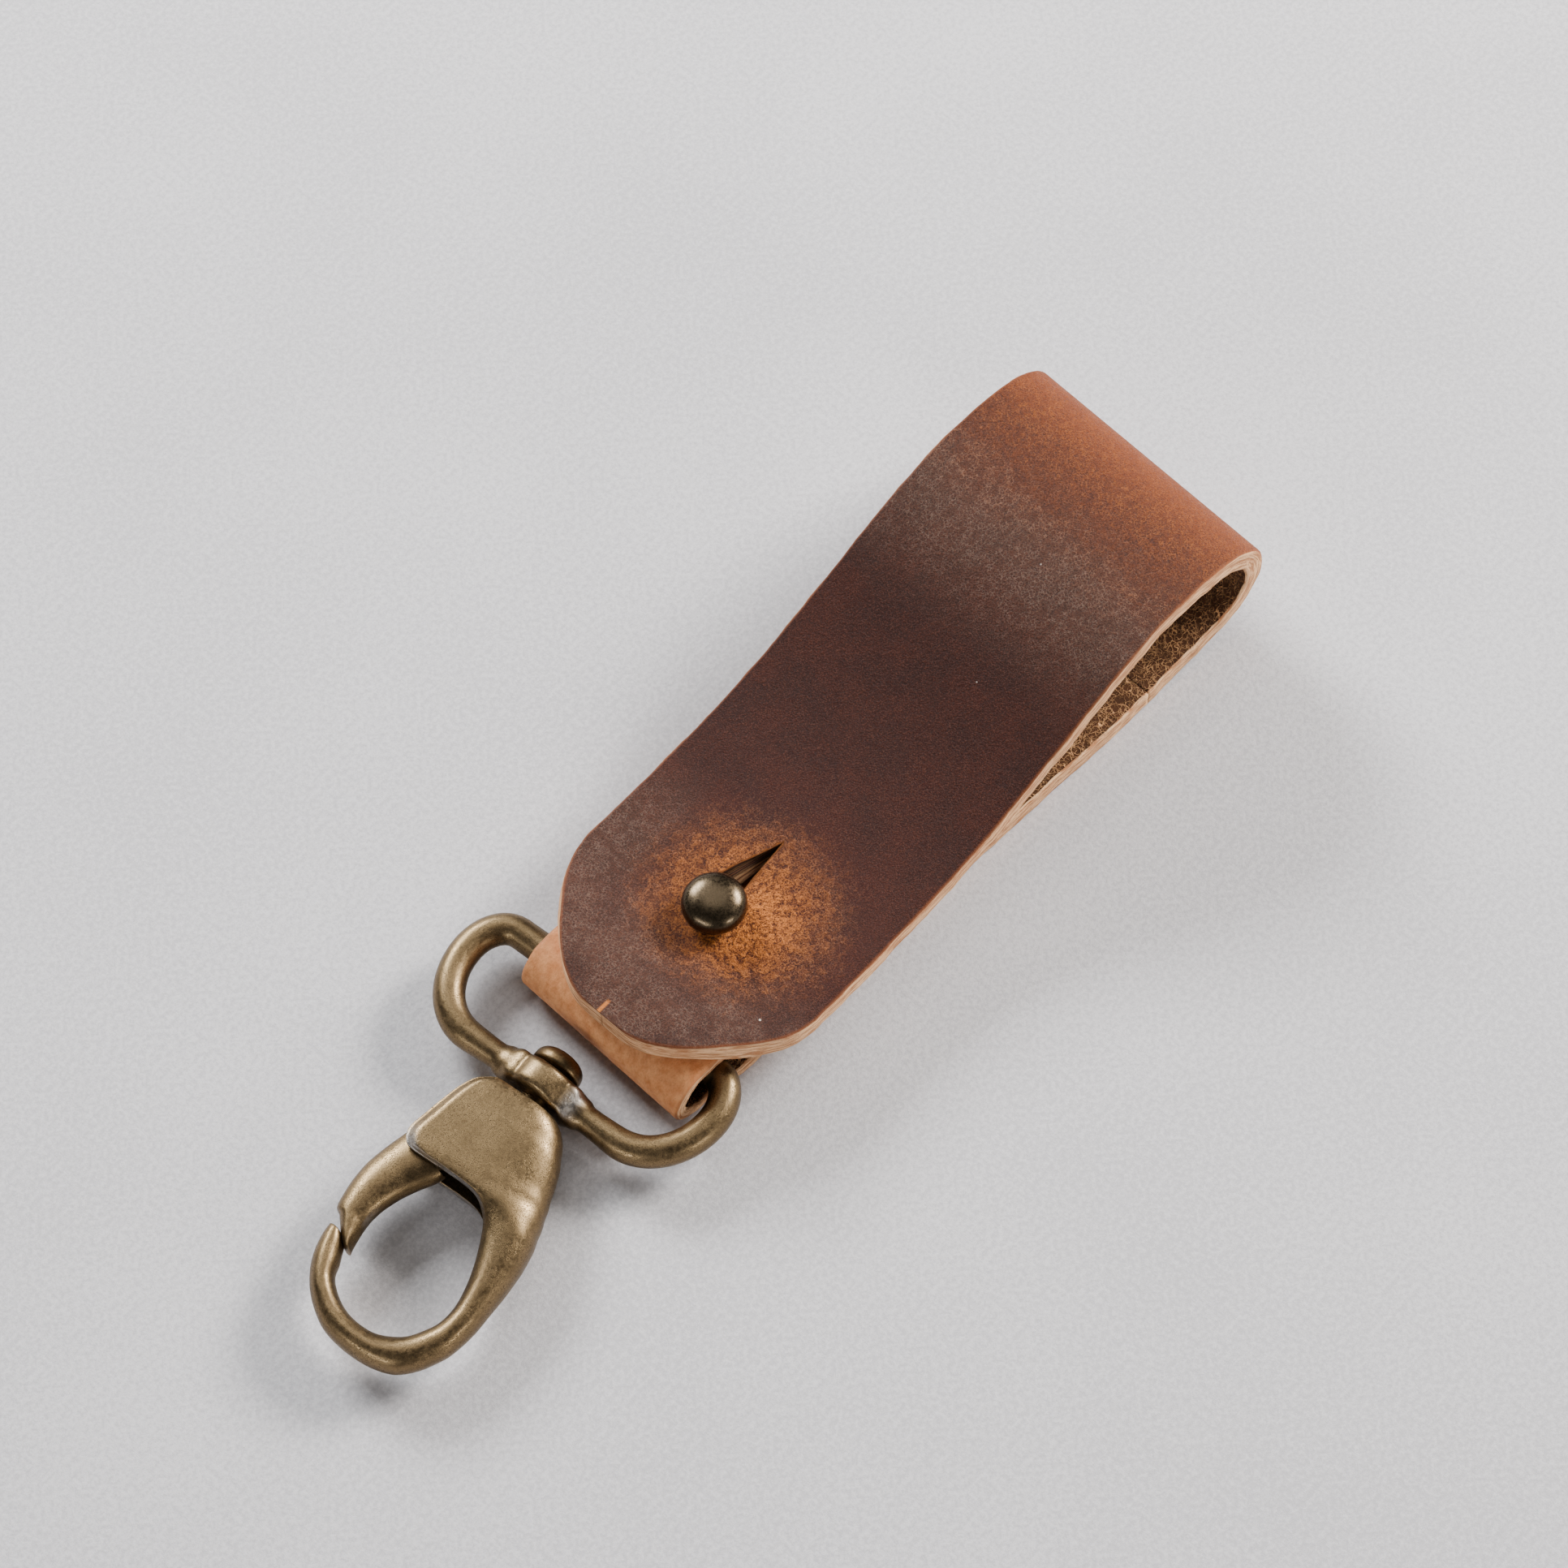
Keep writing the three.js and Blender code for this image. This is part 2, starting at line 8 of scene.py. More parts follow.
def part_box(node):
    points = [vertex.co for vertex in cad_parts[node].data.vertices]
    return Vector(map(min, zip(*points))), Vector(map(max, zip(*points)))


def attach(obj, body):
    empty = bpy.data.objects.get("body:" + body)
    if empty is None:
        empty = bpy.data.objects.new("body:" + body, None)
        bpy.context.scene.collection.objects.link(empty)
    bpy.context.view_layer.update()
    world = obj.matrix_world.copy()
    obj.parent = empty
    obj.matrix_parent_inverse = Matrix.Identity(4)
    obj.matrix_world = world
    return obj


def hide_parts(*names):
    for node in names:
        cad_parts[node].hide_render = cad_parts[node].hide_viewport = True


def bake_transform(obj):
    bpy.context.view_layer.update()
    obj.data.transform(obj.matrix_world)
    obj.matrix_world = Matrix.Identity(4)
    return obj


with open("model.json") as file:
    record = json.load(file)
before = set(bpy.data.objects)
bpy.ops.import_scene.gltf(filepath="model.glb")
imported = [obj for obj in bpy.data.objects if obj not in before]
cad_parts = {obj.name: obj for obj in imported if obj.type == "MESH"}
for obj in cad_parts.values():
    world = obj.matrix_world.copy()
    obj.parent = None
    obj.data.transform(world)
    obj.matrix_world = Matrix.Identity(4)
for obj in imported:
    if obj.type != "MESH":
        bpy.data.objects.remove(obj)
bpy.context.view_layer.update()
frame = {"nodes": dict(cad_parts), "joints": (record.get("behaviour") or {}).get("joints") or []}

joints = {joint["name"]: joint for joint in frame["joints"]}
mm = 0.001


def middleOf(node):
    low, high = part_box(node)
    return (low + high) / 2 / mm


studAt = middleOf("button_stud")  # the strap's shapes are drawn in millimetres from the stud's axis


def fromStud(points):
    points = np.asarray(points, float)
    return (points + np.array([studAt.x, studAt.y, 0.0])) * mm


cameraView = {
    "position": (-181.36, -156.72, 470.02), "target": (-1.97, 5.24, 9.6),  # millimetres
    "lens": 99.84, "sensor": 36.0,
}
camera = bpy.data.objects.new("camera", bpy.data.cameras.new("camera"))
bpy.context.scene.collection.objects.link(camera)
camera.location = Vector(cameraView["position"]) * mm
aim = Vector(cameraView["target"]) * mm - camera.location
camera.rotation_mode = "QUATERNION"
camera.rotation_quaternion = aim.to_track_quat("-Z", "Y")
camera.data.lens = cameraView["lens"]
camera.data.sensor_width = cameraView["sensor"]
camera.data.clip_start = 0.02
camera.data.clip_end = 20.0
bpy.context.scene.camera = camera
print("camera set")


def newPiece(name, points, faces, material, values=None):
    # points in metres; faces as a list of index arrays, each with its own corner count
    mesh = bpy.data.meshes.new(name)
    mesh.from_pydata(points.tolist(), [], [face for block in faces for face in block.tolist()])
    for key, value in (values or {}).items():
        kind = "FLOAT_VECTOR" if value.ndim == 2 else "FLOAT"
        field = mesh.attributes.new(key, kind, "POINT")
        field.data.foreach_set("vector" if value.ndim == 2 else "value", value.astype(np.float32).ravel())
    mesh.validate()
    mesh.shade_smooth()
    piece = bpy.data.objects.new(name, mesh)
    bpy.context.scene.collection.objects.link(piece)
    piece.data.materials.append(material)
    return piece


def gridFaces(rows, columns, around=True):
    # quads between neighbouring rows and columns, the last column meeting the first if around
    i, j = np.meshgrid(np.arange(rows - 1), np.arange(columns if around else columns - 1), indexing="ij")
    k = (j + 1) % columns
    quads = np.stack([i * columns + j, i * columns + k, (i + 1) * columns + k, (i + 1) * columns + j], -1)
    return quads.reshape(-1, 4)


def closedTube(name, grid, material, values=None, outward=True):
    # grid is rows x columns x 3 in metres, each row a closed loop; each end is closed by a fan to its middle
    rows, columns = grid.shape[:2]
    points = np.vstack([grid.reshape(-1, 3), grid[0].mean(0), grid[-1].mean(0)])
    first, last = rows * columns, rows * columns + 1
    j = np.arange(columns)
    k = (j + 1) % columns
    startFan = np.stack([np.full(columns, first), k, j], -1)
    endFan = np.stack([np.full(columns, last), (rows - 1) * columns + j, (rows - 1) * columns + k], -1)
    faces = [gridFaces(rows, columns), startFan, endFan]
    if not outward:
        faces = [block[:, ::-1] for block in faces]
    kept = {}
    for key, value in (values or {}).items():
        flat = value.reshape(rows * columns, -1)
        ends = np.vstack([value[0].reshape(columns, -1).mean(0), value[-1].reshape(columns, -1).mean(0)])
        full = np.vstack([flat, ends])
        kept[key] = full[:, 0] if full.shape[1] == 1 else full
    piece = newPiece(name, points, faces, material, kept)
    return weld(piece)


def weld(piece, distance=2e-6):
    # joins doubled points at poles and seams, then turns every face outwards
    import bmesh
    made = bmesh.new()
    made.from_mesh(piece.data)
    bmesh.ops.remove_doubles(made, verts=made.verts, dist=distance)
    bmesh.ops.dissolve_degenerate(made, edges=made.edges, dist=distance / 2)
    bmesh.ops.recalc_face_normals(made, faces=made.faces)
    made.to_mesh(piece.data)
    made.free()
    return piece


def cutAway(piece, cutter):
    # takes the cutter's shape out of the piece for good
    boolean = piece.modifiers.new("cut", "BOOLEAN")
    boolean.operation = "DIFFERENCE"
    boolean.solver = "EXACT"
    boolean.object = cutter
    bpy.context.view_layer.update()
    solved = piece.evaluated_get(bpy.context.evaluated_depsgraph_get())
    mesh = bpy.data.meshes.new_from_object(solved)
    piece.modifiers.clear()
    piece.data = mesh
    bpy.data.objects.remove(cutter)
    return piece


def smoothThrough(points, count):
    # Catmull-Rom curve through rows of numbers, read at evenly spaced steps
    points = np.asarray(points, float)
    padded = np.vstack([2 * points[0] - points[1], points, 2 * points[-1] - points[-2]])
    at = np.linspace(0, len(points) - 1, count)
    i = np.minimum(at.astype(int), len(points) - 2)
    t = (at - i)[:, None]
    a, b, c, d = padded[i], padded[i + 1], padded[i + 2], padded[i + 3]
    curve = 2 * b + (c - a) * t + (2 * a - 5 * b + 4 * c - d) * t ** 2 + (3 * b - a - 3 * c + d) * t ** 3
    return 0.5 * curve


def bezier(start, pull1, pull2, end, count=40):
    # cubic curve from start to end, leaving towards the first pull and arriving from the second
    t = np.linspace(0, 1, count)[:, None]
    a, b, c, d = (np.asarray(p, float) for p in (start, pull1, pull2, end))
    return a * (1 - t) ** 3 + 3 * b * t * (1 - t) ** 2 + 3 * c * t ** 2 * (1 - t) + d * t ** 3


def smoothStep(low, high, value):
    # 0 below low, 1 above high, and three t squared less two t cubed between
    t = np.clip((value - low) / (high - low), 0, 1)
    return t * t * (3 - 2 * t)


def ripple(value, seed, scale):
    # a repeatable wavering of height about 1: a sum of sines with seeded phases
    rng = np.random.default_rng(seed)
    phases = rng.uniform(0, 2 * math.pi, 6)
    rates = scale * np.array([0.31, 0.57, 1.0, 1.73, 2.9, 4.7])
    sizes = np.array([0.5, 0.42, 0.34, 0.25, 0.16, 0.1])
    return sum(s * np.sin(r * value + p) for s, r, p in zip(sizes, rates, phases))


def shown(red, green, blue):
    # a colour as a screen shows it, 0 to 255, made linear
    c = np.array([red, green, blue]) / 255.0
    linear = np.where(c <= 0.04045, c / 12.92, ((c + 0.055) / 1.055) ** 2.4)
    return (*[float(v) for v in linear], 1.0)


def put(tree, kind, settings=None, inputs=None):
    # a new node; an input that is a socket is linked, and any other is a plain value
    made = tree.nodes.new("ShaderNode" + kind)
    for key, value in (settings or {}).items():
        setattr(made, key, value)
    for key, value in (inputs or {}).items():
        if isinstance(value, bpy.types.NodeSocket):
            tree.links.new(value, made.inputs[key])
        else:
            made.inputs[key].default_value = value
    return made


def calc(tree, operation, a, b=0.0):
    return put(tree, "Math", {"operation": operation}, {0: a, 1: b}).outputs[0]


def times(tree, a, b):
    return calc(tree, "MULTIPLY", a, b)


def plus(tree, a, b):
    return calc(tree, "ADD", a, b)


def minus(tree, a, b):
    return calc(tree, "SUBTRACT", a, b)


def larger(tree, a, b):
    return calc(tree, "MAXIMUM", a, b)


def vectorSum(tree, operation, inputs):
    return put(tree, "VectorMath", {"operation": operation}, inputs).outputs[0]


def blendColour(tree, factor, a, b):
    settings = {"data_type": "RGBA", "blend_type": "MIX", "clamp_factor": True}
    return put(tree, "Mix", settings, {0: factor, 6: a, 7: b}).outputs[2]


def spread(tree, value, low, high, toLow=0.0, toHigh=1.0):
    # a smooth step from toLow to toHigh as the value goes from low to high
    kind = {"interpolation_type": "SMOOTHSTEP", "clamp": True}
    inputs = {"Value": value, "From Min": low, "From Max": high, "To Min": toLow, "To Max": toHigh}
    return put(tree, "MapRange", kind, inputs).outputs[0]


def noise(tree, vector, scale, detail=3.0, roughness=0.55, distortion=0.0, stretch=None):
    if stretch is not None:
        vector = put(tree, "Mapping", None, {"Vector": vector, "Scale": stretch}).outputs[0]
    inputs = {"Vector": vector, "Scale": scale, "Detail": detail, "Roughness": roughness,
              "Distortion": distortion}
    return put(tree, "TexNoise", None, inputs).outputs["Fac"]


def newMaterial(name):
    material = bpy.data.materials.new(name)
    material.use_nodes = True
    tree = material.node_tree
    return material, tree, tree.nodes["Principled BSDF"]


def newGroup(name, inputs, outputs):
    tree = bpy.data.node_groups.new(name, "ShaderNodeTree")
    for key, kind, value in inputs:
        socket = tree.interface.new_socket(key, in_out="INPUT", socket_type="NodeSocket" + kind)
        if value is not None:
            socket.default_value = value
    for key, kind in outputs:
        tree.interface.new_socket(key, in_out="OUTPUT", socket_type="NodeSocket" + kind)
    return tree, tree.nodes.new("NodeGroupInput"), tree.nodes.new("NodeGroupOutput")


def useGroup(tree, group, inputs):
    return put(tree, "Group", {"node_tree": group}, inputs)


def attribute(tree, name, output="Vector"):
    return put(tree, "Attribute", {"attribute_type": "GEOMETRY", "attribute_name": name}).outputs[output]


def bump(tree, height, strength, distance):
    return put(tree, "Bump", None, {"Height": height, "Strength": strength, "Distance": distance}).outputs[0]


def curlyFibres():
    # thin curling lines: the edges of warped cells, present in patches
    inputs = [("Vector", "Vector", None), ("Scale", "Float", 2.0), ("Fineness", "Float", 0.05),
              ("Warp", "Float", 0.6)]
    tree, given, out = newGroup("curlyFibres", inputs, [("Lines", "Float"), ("Ground", "Float")])
    place, scale = given.outputs["Vector"], given.outputs["Scale"]
    warp = put(tree, "TexNoise", None, {"Vector": place, "Scale": scale, "Detail": 1.0})
    offset = vectorSum(tree, "SUBTRACT", {0: warp.outputs["Color"], 1: (0.5, 0.5, 0.5)})
    pushed = vectorSum(tree, "SCALE", {0: offset, "Scale": given.outputs["Warp"]})
    moved = vectorSum(tree, "ADD", {0: place, 1: pushed})
    cells = put(tree, "TexVoronoi", {"feature": "DISTANCE_TO_EDGE"}, {"Vector": moved, "Scale": scale})
    lines = spread(tree, cells.outputs["Distance"], 0.0, given.outputs["Fineness"], 1.0, 0.0)
    half = times(tree, scale, 0.45)
    patches = put(tree, "TexNoise", None, {"Vector": place, "Scale": half, "Detail": 2.0}).outputs["Fac"]
    tree.links.new(times(tree, lines, spread(tree, patches, 0.34, 0.56)), out.inputs["Lines"])
    tree.links.new(patches, out.inputs["Ground"])
    return tree


def brassPatina():
    # dark brown metal rubbed gold in patches, with fine pits and a soft mottle
    inputs = [("Dark", "Color", shown(70, 54, 36)), ("Rubbed", "Color", shown(176, 146, 96)),
              ("Rub", "Float", 0.5), ("Scale", "Float", 1.0)]
    outputs = [("Colour", "Color"), ("Roughness", "Float"), ("Height", "Float")]
    tree, given, out = newGroup("brassPatina", inputs, outputs)
    place = put(tree, "TexCoord").outputs["Object"]
    perMetre = times(tree, given.outputs["Scale"], 1000.0)
    sized = vectorSum(tree, "SCALE", {0: place, "Scale": perMetre})
    patches = noise(tree, sized, 0.42, 4.0, 0.62)
    mottle = noise(tree, sized, 2.6, 3.0, 0.7)
    grit = noise(tree, sized, 7.5, 2.0, 0.6)
    rub = plus(tree, times(tree, patches, 0.4), times(tree, mottle, 0.35))
    rub = plus(tree, rub, times(tree, grit, 0.4))
    amount = spread(tree, plus(tree, rub, given.outputs["Rub"]), 0.45, 1.55)
    pits = spread(tree, grit, 0.38, 0.48, 1.0, 0.0)
    pitted = times(tree, pits, spread(tree, patches, 0.38, 0.6, 0.3, 1.0))
    colour = blendColour(tree, amount, given.outputs["Dark"], given.outputs["Rubbed"])
    colour = blendColour(tree, times(tree, pitted, 0.7), colour, given.outputs["Dark"])
    tree.links.new(colour, out.inputs["Colour"])
    rough = plus(tree, spread(tree, mottle, 0.3, 0.7, 0.30, 0.44), times(tree, pitted, 0.15))
    height = minus(tree, times(tree, mottle, 0.5), times(tree, pitted, 0.6))
    tree.links.new(rough, out.inputs["Roughness"])
    tree.links.new(height, out.inputs["Height"])
    return tree


fibreGroup = curlyFibres()
patinaGroup = brassPatina()


leatherLook = {
    # haze is a pale veil: waxy haze by the fold, and painted sheen on the flap's round end
    "dark": shown(46, 17, 9), "warmDark": shown(56, 21, 10), "haze": shown(88, 62, 48),
    "pore": shown(20, 10, 7), "ash": shown(140, 116, 102), "speck": shown(114, 66, 44),
    "lint": shown(226, 214, 200),
    "tan": shown(98, 48, 20), "brightTan": shown(144, 68, 19), "deepTan": shown(72, 34, 16),
    "haloLight": shown(222, 132, 58), "tabTan": shown(190, 116, 68), "peach": shown(232, 164, 110),
    "pink": shown(196, 152, 122),
    "edge": shown(250, 200, 150), "edgeDark": shown(186, 124, 82), "rim": shown(150, 84, 48),
    "flesh": shown(98, 61, 38), "fleshDark": shown(46, 29, 18), "fleshFibre": shown(224, 166, 114),
    "haloCentre": (4.2, -1.9), "haloReach": (13.8, 14.6),
    "brightCentre": (3.4, -3.6), "brightReach": (9.0, 8.2), "nickAt": (-17.3, 0.5),
    "tanFrom": 65.0, "hazeAt": 60.0, "tabFrom": 162.0, "specular": 0.15,
}


def ovalReach(tree, along, across, centre, reach):
    # distance from a centre in shares of an oval's half widths, with its two parts
    dx = calc(tree, "DIVIDE", minus(tree, along, centre[0]), reach[0])
    dy = calc(tree, "DIVIDE", minus(tree, across, centre[1]), reach[1])
    return dx, dy, calc(tree, "SQRT", plus(tree, times(tree, dx, dx), times(tree, dy, dy)))


def offMiddle(tree, value, share):
    # a noise's distance from its middle, times a share
    return times(tree, minus(tree, value, 0.5), share)


def makeLeather():
    look = leatherLook
    material, tree, shader = newMaterial("waxedLeather")
    place = attribute(tree, "place")
    zone = attribute(tree, "zone")
    parts = put(tree, "SeparateXYZ", None, {0: place})
    along, across = parts.outputs[0], parts.outputs[1]
    zones = put(tree, "SeparateXYZ", None, {0: zone})
    cut, flesh, rim = zones.outputs[0], zones.outputs[1], zones.outputs[2]

    cloud = noise(tree, place, 0.16, 3.0, 0.6)
    wisp = noise(tree, place, 0.9, 4.0, 0.65)
    streaks = noise(tree, place, 0.5, 3.0, 0.6, 0.6, (1.0, 0.28, 1.0))
    grains = noise(tree, place, 2.4, 3.0, 0.75, 0.9)
    fineGrains = noise(tree, place, 5.0, 2.0, 0.7, 0.4)

    # halo of stretched, lighter leather round the stud
    dx, dy, reach = ovalReach(tree, along, across, look["haloCentre"], look["haloReach"])
    unevenly = plus(tree, offMiddle(tree, wisp, 0.55), offMiddle(tree, grains, 0.55))
    halo = spread(tree, plus(tree, reach, unevenly), 1.08, 0.38)
    roundAt = put(tree, "CombineXYZ", None, {
        0: plus(tree, times(tree, reach, 24.0), times(tree, wisp, 5.0)),
        1: times(tree, calc(tree, "DIVIDE", dx, reach), 6.0),
        2: times(tree, calc(tree, "DIVIDE", dy, reach), 6.0)}).outputs[0]
    strokes = noise(tree, roundAt, 1.0, 3.0, 0.7, 0.5)
    core = ovalReach(tree, along, across, look["brightCentre"], look["brightReach"])[2]
    bright = spread(tree, plus(tree, core, times(tree, unevenly, 0.6)), 1.1, 0.0)

    # belt fold: faint waxy haze, then orange tan, browner again underneath
    tanFrom, hazeAt = look["tanFrom"], look["hazeAt"]
    edgeOfTan = plus(tree, along, offMiddle(tree, streaks, 6.0))
    edgeOfTan = plus(tree, edgeOfTan, offMiddle(tree, grains, 9.0))
    tan = spread(tree, edgeOfTan, tanFrom - 7.0, tanFrom + 9.0)
    tan = times(tree, tan, spread(tree, along, 106.0, 90.0))
    haze = spread(tree, edgeOfTan, hazeAt - 16.0, hazeAt)
    haze = times(tree, haze, spread(tree, edgeOfTan, hazeAt + 11.0, hazeAt + 1.0))
    # painted sheen: the flap's round end and its +Y side near the end are made paler, standing in for light
    # where the end turns towards the lamps
    paintedEndSheen = times(tree, spread(tree, along, 4.0, -9.0), spread(tree, cloud, 0.3, 0.6, 0.35, 1.0))
    paintedSideSheen = times(tree, spread(tree, across, 7.0, 14.0, 0.0, 0.85), spread(tree, along, 17.0, 3.0))
    paintedEndSheen = larger(tree, paintedEndSheen, paintedSideSheen)
    tab = spread(tree, along, look["tabFrom"] - 5.0, look["tabFrom"] + 5.0)

    colour = blendColour(tree, spread(tree, cloud, 0.35, 0.65), look["dark"], look["warmDark"])
    # the pale veil goes over the fold's waxy haze and over the painted sheen at the round end
    colour = blendColour(tree, times(tree, larger(tree, haze, paintedEndSheen), 0.38), colour, look["haze"])
    tanColour = blendColour(tree, spread(tree, grains, 0.36, 0.66), look["deepTan"], look["tan"])
    tanColour = blendColour(tree, spread(tree, along, 70.0, 82.0, 0.0, 0.55), tanColour, look["brightTan"])
    colour = blendColour(tree, times(tree, tan, 0.9), colour, tanColour)
    haloColour = blendColour(tree, bright, look["deepTan"], look["tan"])
    gleam = plus(tree, times(tree, strokes, 0.65), times(tree, fineGrains, 0.35))
    lit = times(tree, spread(tree, bright, 0.0, 1.0, 0.30, 1.0), spread(tree, gleam, 0.42, 0.62))
    haloColour = blendColour(tree, lit, haloColour, look["haloLight"])
    haloColour = blendColour(tree, spread(tree, gleam, 0.5, 0.36, 0.0, 0.62), haloColour, look["warmDark"])
    colour = blendColour(tree, spread(tree, fineGrains, 0.5, 0.7, 0.0, 0.3), colour, look["speck"])
    colour = blendColour(tree, times(tree, halo, 0.92), colour, haloColour)
    tabColour = blendColour(tree, spread(tree, wisp, 0.15, 0.85), look["tabTan"], look["peach"])
    colour = blendColour(tree, tab, colour, tabColour)

    # fine pale lines and dark pores of the grain, palest on the waxy parts and on the painted sheen at the
    # round end
    fibres = useGroup(tree, fibreGroup, {"Vector": place, "Scale": 2.3, "Fineness": 0.12, "Warp": 0.6})
    waxAndSheen = spread(tree, larger(tree, haze, paintedEndSheen), 0.0, 1.0, 0.01, 0.34)
    lineColour = blendColour(tree, larger(tree, halo, tan), look["ash"], look["haloLight"])
    warmShare = larger(tree, times(tree, halo, 0.42), times(tree, tan, 0.18))
    lineShare = larger(tree, waxAndSheen, warmShare)
    colour = blendColour(tree, times(tree, fibres.outputs["Lines"], lineShare), colour, lineColour)
    plain = spread(tree, tab, 0.0, 1.0, 1.0, 0.25)
    pores = times(tree, spread(tree, fineGrains, 0.54, 0.3), times(tree, plain, 0.62))
    colour = blendColour(tree, pores, colour, look["pore"])

    # nick at the round end, and sparse lint
    nickX = calc(tree, "ABSOLUTE", minus(tree, along, look["nickAt"][0]))
    nickY = calc(tree, "ABSOLUTE", minus(tree, across, look["nickAt"][1]))
    nick = times(tree, spread(tree, nickX, 1.7, 1.0), spread(tree, nickY, 0.34, 0.1))
    colour = blendColour(tree, times(tree, nick, 0.6), colour, look["haloLight"])
    cells = put(tree, "TexVoronoi", {"voronoi_dimensions": "3D"}, {"Vector": place, "Scale": 0.2})
    oneCell = put(tree, "SeparateXYZ", None, {0: cells.outputs["Color"]}).outputs[0]
    fewCells = calc(tree, "GREATER_THAN", oneCell, 0.86)
    lint = times(tree, spread(tree, cells.outputs["Distance"], 0.038, 0.02), fewCells)
    colour = blendColour(tree, times(tree, lint, 0.7), colour, look["lint"])

    # raw cut edge: pale, with layers running along it
    layers = noise(tree, place, 1.0, 4.0, 0.65, 0.3, (0.35, 0.35, 4.2))
    speckle = noise(tree, place, 4.2, 3.0, 0.7)
    edgeColour = blendColour(tree, spread(tree, layers, 0.4, 0.6), look["edgeDark"], look["edge"])
    edgeColour = blendColour(tree, spread(tree, speckle, 0.5, 0.7, 0.0, 0.5), edgeColour, look["pink"])
    colour = blendColour(tree, times(tree, rim, 0.5), colour, look["rim"])
    colour = blendColour(tree, cut, colour, edgeColour)

    # flesh side: dark ground with curling golden fibres
    curls = useGroup(tree, fibreGroup, {"Vector": place, "Scale": 1.1, "Fineness": 0.085, "Warp": 1.1})
    elsewhere = vectorSum(tree, "ADD", {0: place, 1: (31.0, 17.0, 5.0)})
    moreCurls = useGroup(tree, fibreGroup, {"Vector": elsewhere, "Scale": 1.7, "Fineness": 0.09, "Warp": 0.8})
    fibre = larger(tree, curls.outputs["Lines"], times(tree, moreCurls.outputs["Lines"], 0.8))
    fleshColour = blendColour(tree, curls.outputs["Ground"], look["fleshDark"], look["flesh"])
    fleshColour = blendColour(tree, fibre, fleshColour, look["fleshFibre"])
    colour = blendColour(tree, flesh, colour, fleshColour)
    tree.links.new(colour, shader.inputs["Base Color"])

    dry = times(tree, larger(tree, cut, flesh), 0.32)
    rough = plus(tree, spread(tree, grains, 0.3, 0.7, 0.44, 0.62), dry)
    tree.links.new(rough, shader.inputs["Roughness"])
    shader.inputs["Specular IOR Level"].default_value = look["specular"]

    # relief: grain, wrinkles round the stud, fibres
    grainHeight = plus(tree, times(tree, grains, 0.8), times(tree, fineGrains, 0.5))
    wrinkled = plus(tree, grainHeight, times(tree, times(tree, strokes, halo), 1.6))
    smoothTab = times(tree, wrinkled, spread(tree, tab, 0.0, 1.0, 1.0, 0.35))
    edgeHeight = plus(tree, times(tree, layers, 1.6), speckle)
    number = {"data_type": "FLOAT"}
    height = put(tree, "Mix", number, {0: cut, 2: smoothTab, 3: edgeHeight}).outputs[0]
    height = put(tree, "Mix", number, {0: flesh, 2: height, 3: times(tree, fibre, 2.4)}).outputs[0]
    tree.links.new(bump(tree, height, 0.9, 0.00021), shader.inputs["Normal"])
    return material


leather = makeLeather()
print("leather ready")

strapShape = {
    "width": 36.5, "thickness": 3.1, "tabThickness": 1.8, "foldX": 78.15, "hingeZ": 10.0,
    "crown": (62.0, 20.95), "restX": 56.0, "flapMiddle": 7.85, "overBar": 10.35,
    "barX": -14.6, "barZ": 4.25, "wrapRadius": 3.35, "barSlack": 1.02, "tabEndX": 12.3,
    "splitX": 60.0, "edgeRound": 0.42, "wander": 0.10, "lip": 0.75, "dent": 0.105,
    "endFlat": 1.5, "endFlatFar": 1.1, "foldSkew": 2.1, "tabSkew": 1.1, "backNarrow": 0.95,
}


def strapCentre():
    # middle line of the whole strap, from the flap's round end over the fold, back along the table and
    # round the ring's bar to the end hidden between the layers: x, z and thickness
    s = strapShape
    t, half = s["thickness"], s["thickness"] / 2
    lift, mid, over = s["barX"] + s["barSlack"], s["flapMiddle"], s["overBar"]
    fold, hinge, crown = s["foldX"], s["hingeZ"], s["crown"]
    tabHalf = s["tabThickness"] / 2
    tabMid = 4.3
    wrapX, r = s["barX"] - s["barSlack"], s["wrapRadius"]
    angle = np.linspace(-math.pi / 2, -1.5 * math.pi, 60)
    wrap = np.stack([wrapX + r * np.cos(angle), s["barZ"] + r * np.sin(angle)], 1)
    top = s["barZ"] + r
    pieces = [
        (np.array([[-19.5, over], [lift - 1.5, over - 0.1]]), t),
        (bezier((lift, over - 0.25), (lift + 3.5, over - 1.0), (-7.0, mid + 0.1), (-1.0, mid)), t),
        (np.array([[1.0, mid], [7.0, mid]]), t),
        (bezier((8.0, mid), (36.0, mid), (crown[0] - 15, crown[1]), crown, 80), t),
        (bezier(crown, (crown[0] + 9, crown[1]), (fold, hinge + 7), (fold, hinge), 80)[1:], t),
        (bezier((fold, hinge), (fold, hinge / 2), (fold - 8, half), (s["restX"], half), 80)[1:], t),
        (np.array([[30.0, half], [s["barX"] + 9.0, half]]), t),
        (np.array([[s["barX"] + 2.97, tabHalf]]), s["tabThickness"]),
        (wrap, s["tabThickness"]),
        (bezier((lift, top), (lift + 3, top), (lift + 4.6, tabMid), (lift + 8, tabMid)), s["tabThickness"]),
        (np.array([[s["tabEndX"], tabMid]]), s["tabThickness"]),
    ]
    return np.vstack([np.column_stack([p, np.full(len(p), thick)]) for p, thick in pieces])


centre = strapCentre()
steps = np.hypot(*np.diff(centre[:, :2], axis=0).T)
alongRaw = np.concatenate([[0], np.cumsum(steps)])
alongRaw -= np.interp(0.0, centre[:40, 0], alongRaw[:40])  # zero at the stud
fineAlong = np.arange(alongRaw[0], alongRaw[-1], 0.25)
lineX, lineZ, lineT = (np.interp(fineAlong, alongRaw, centre[:, k]) for k in range(3))


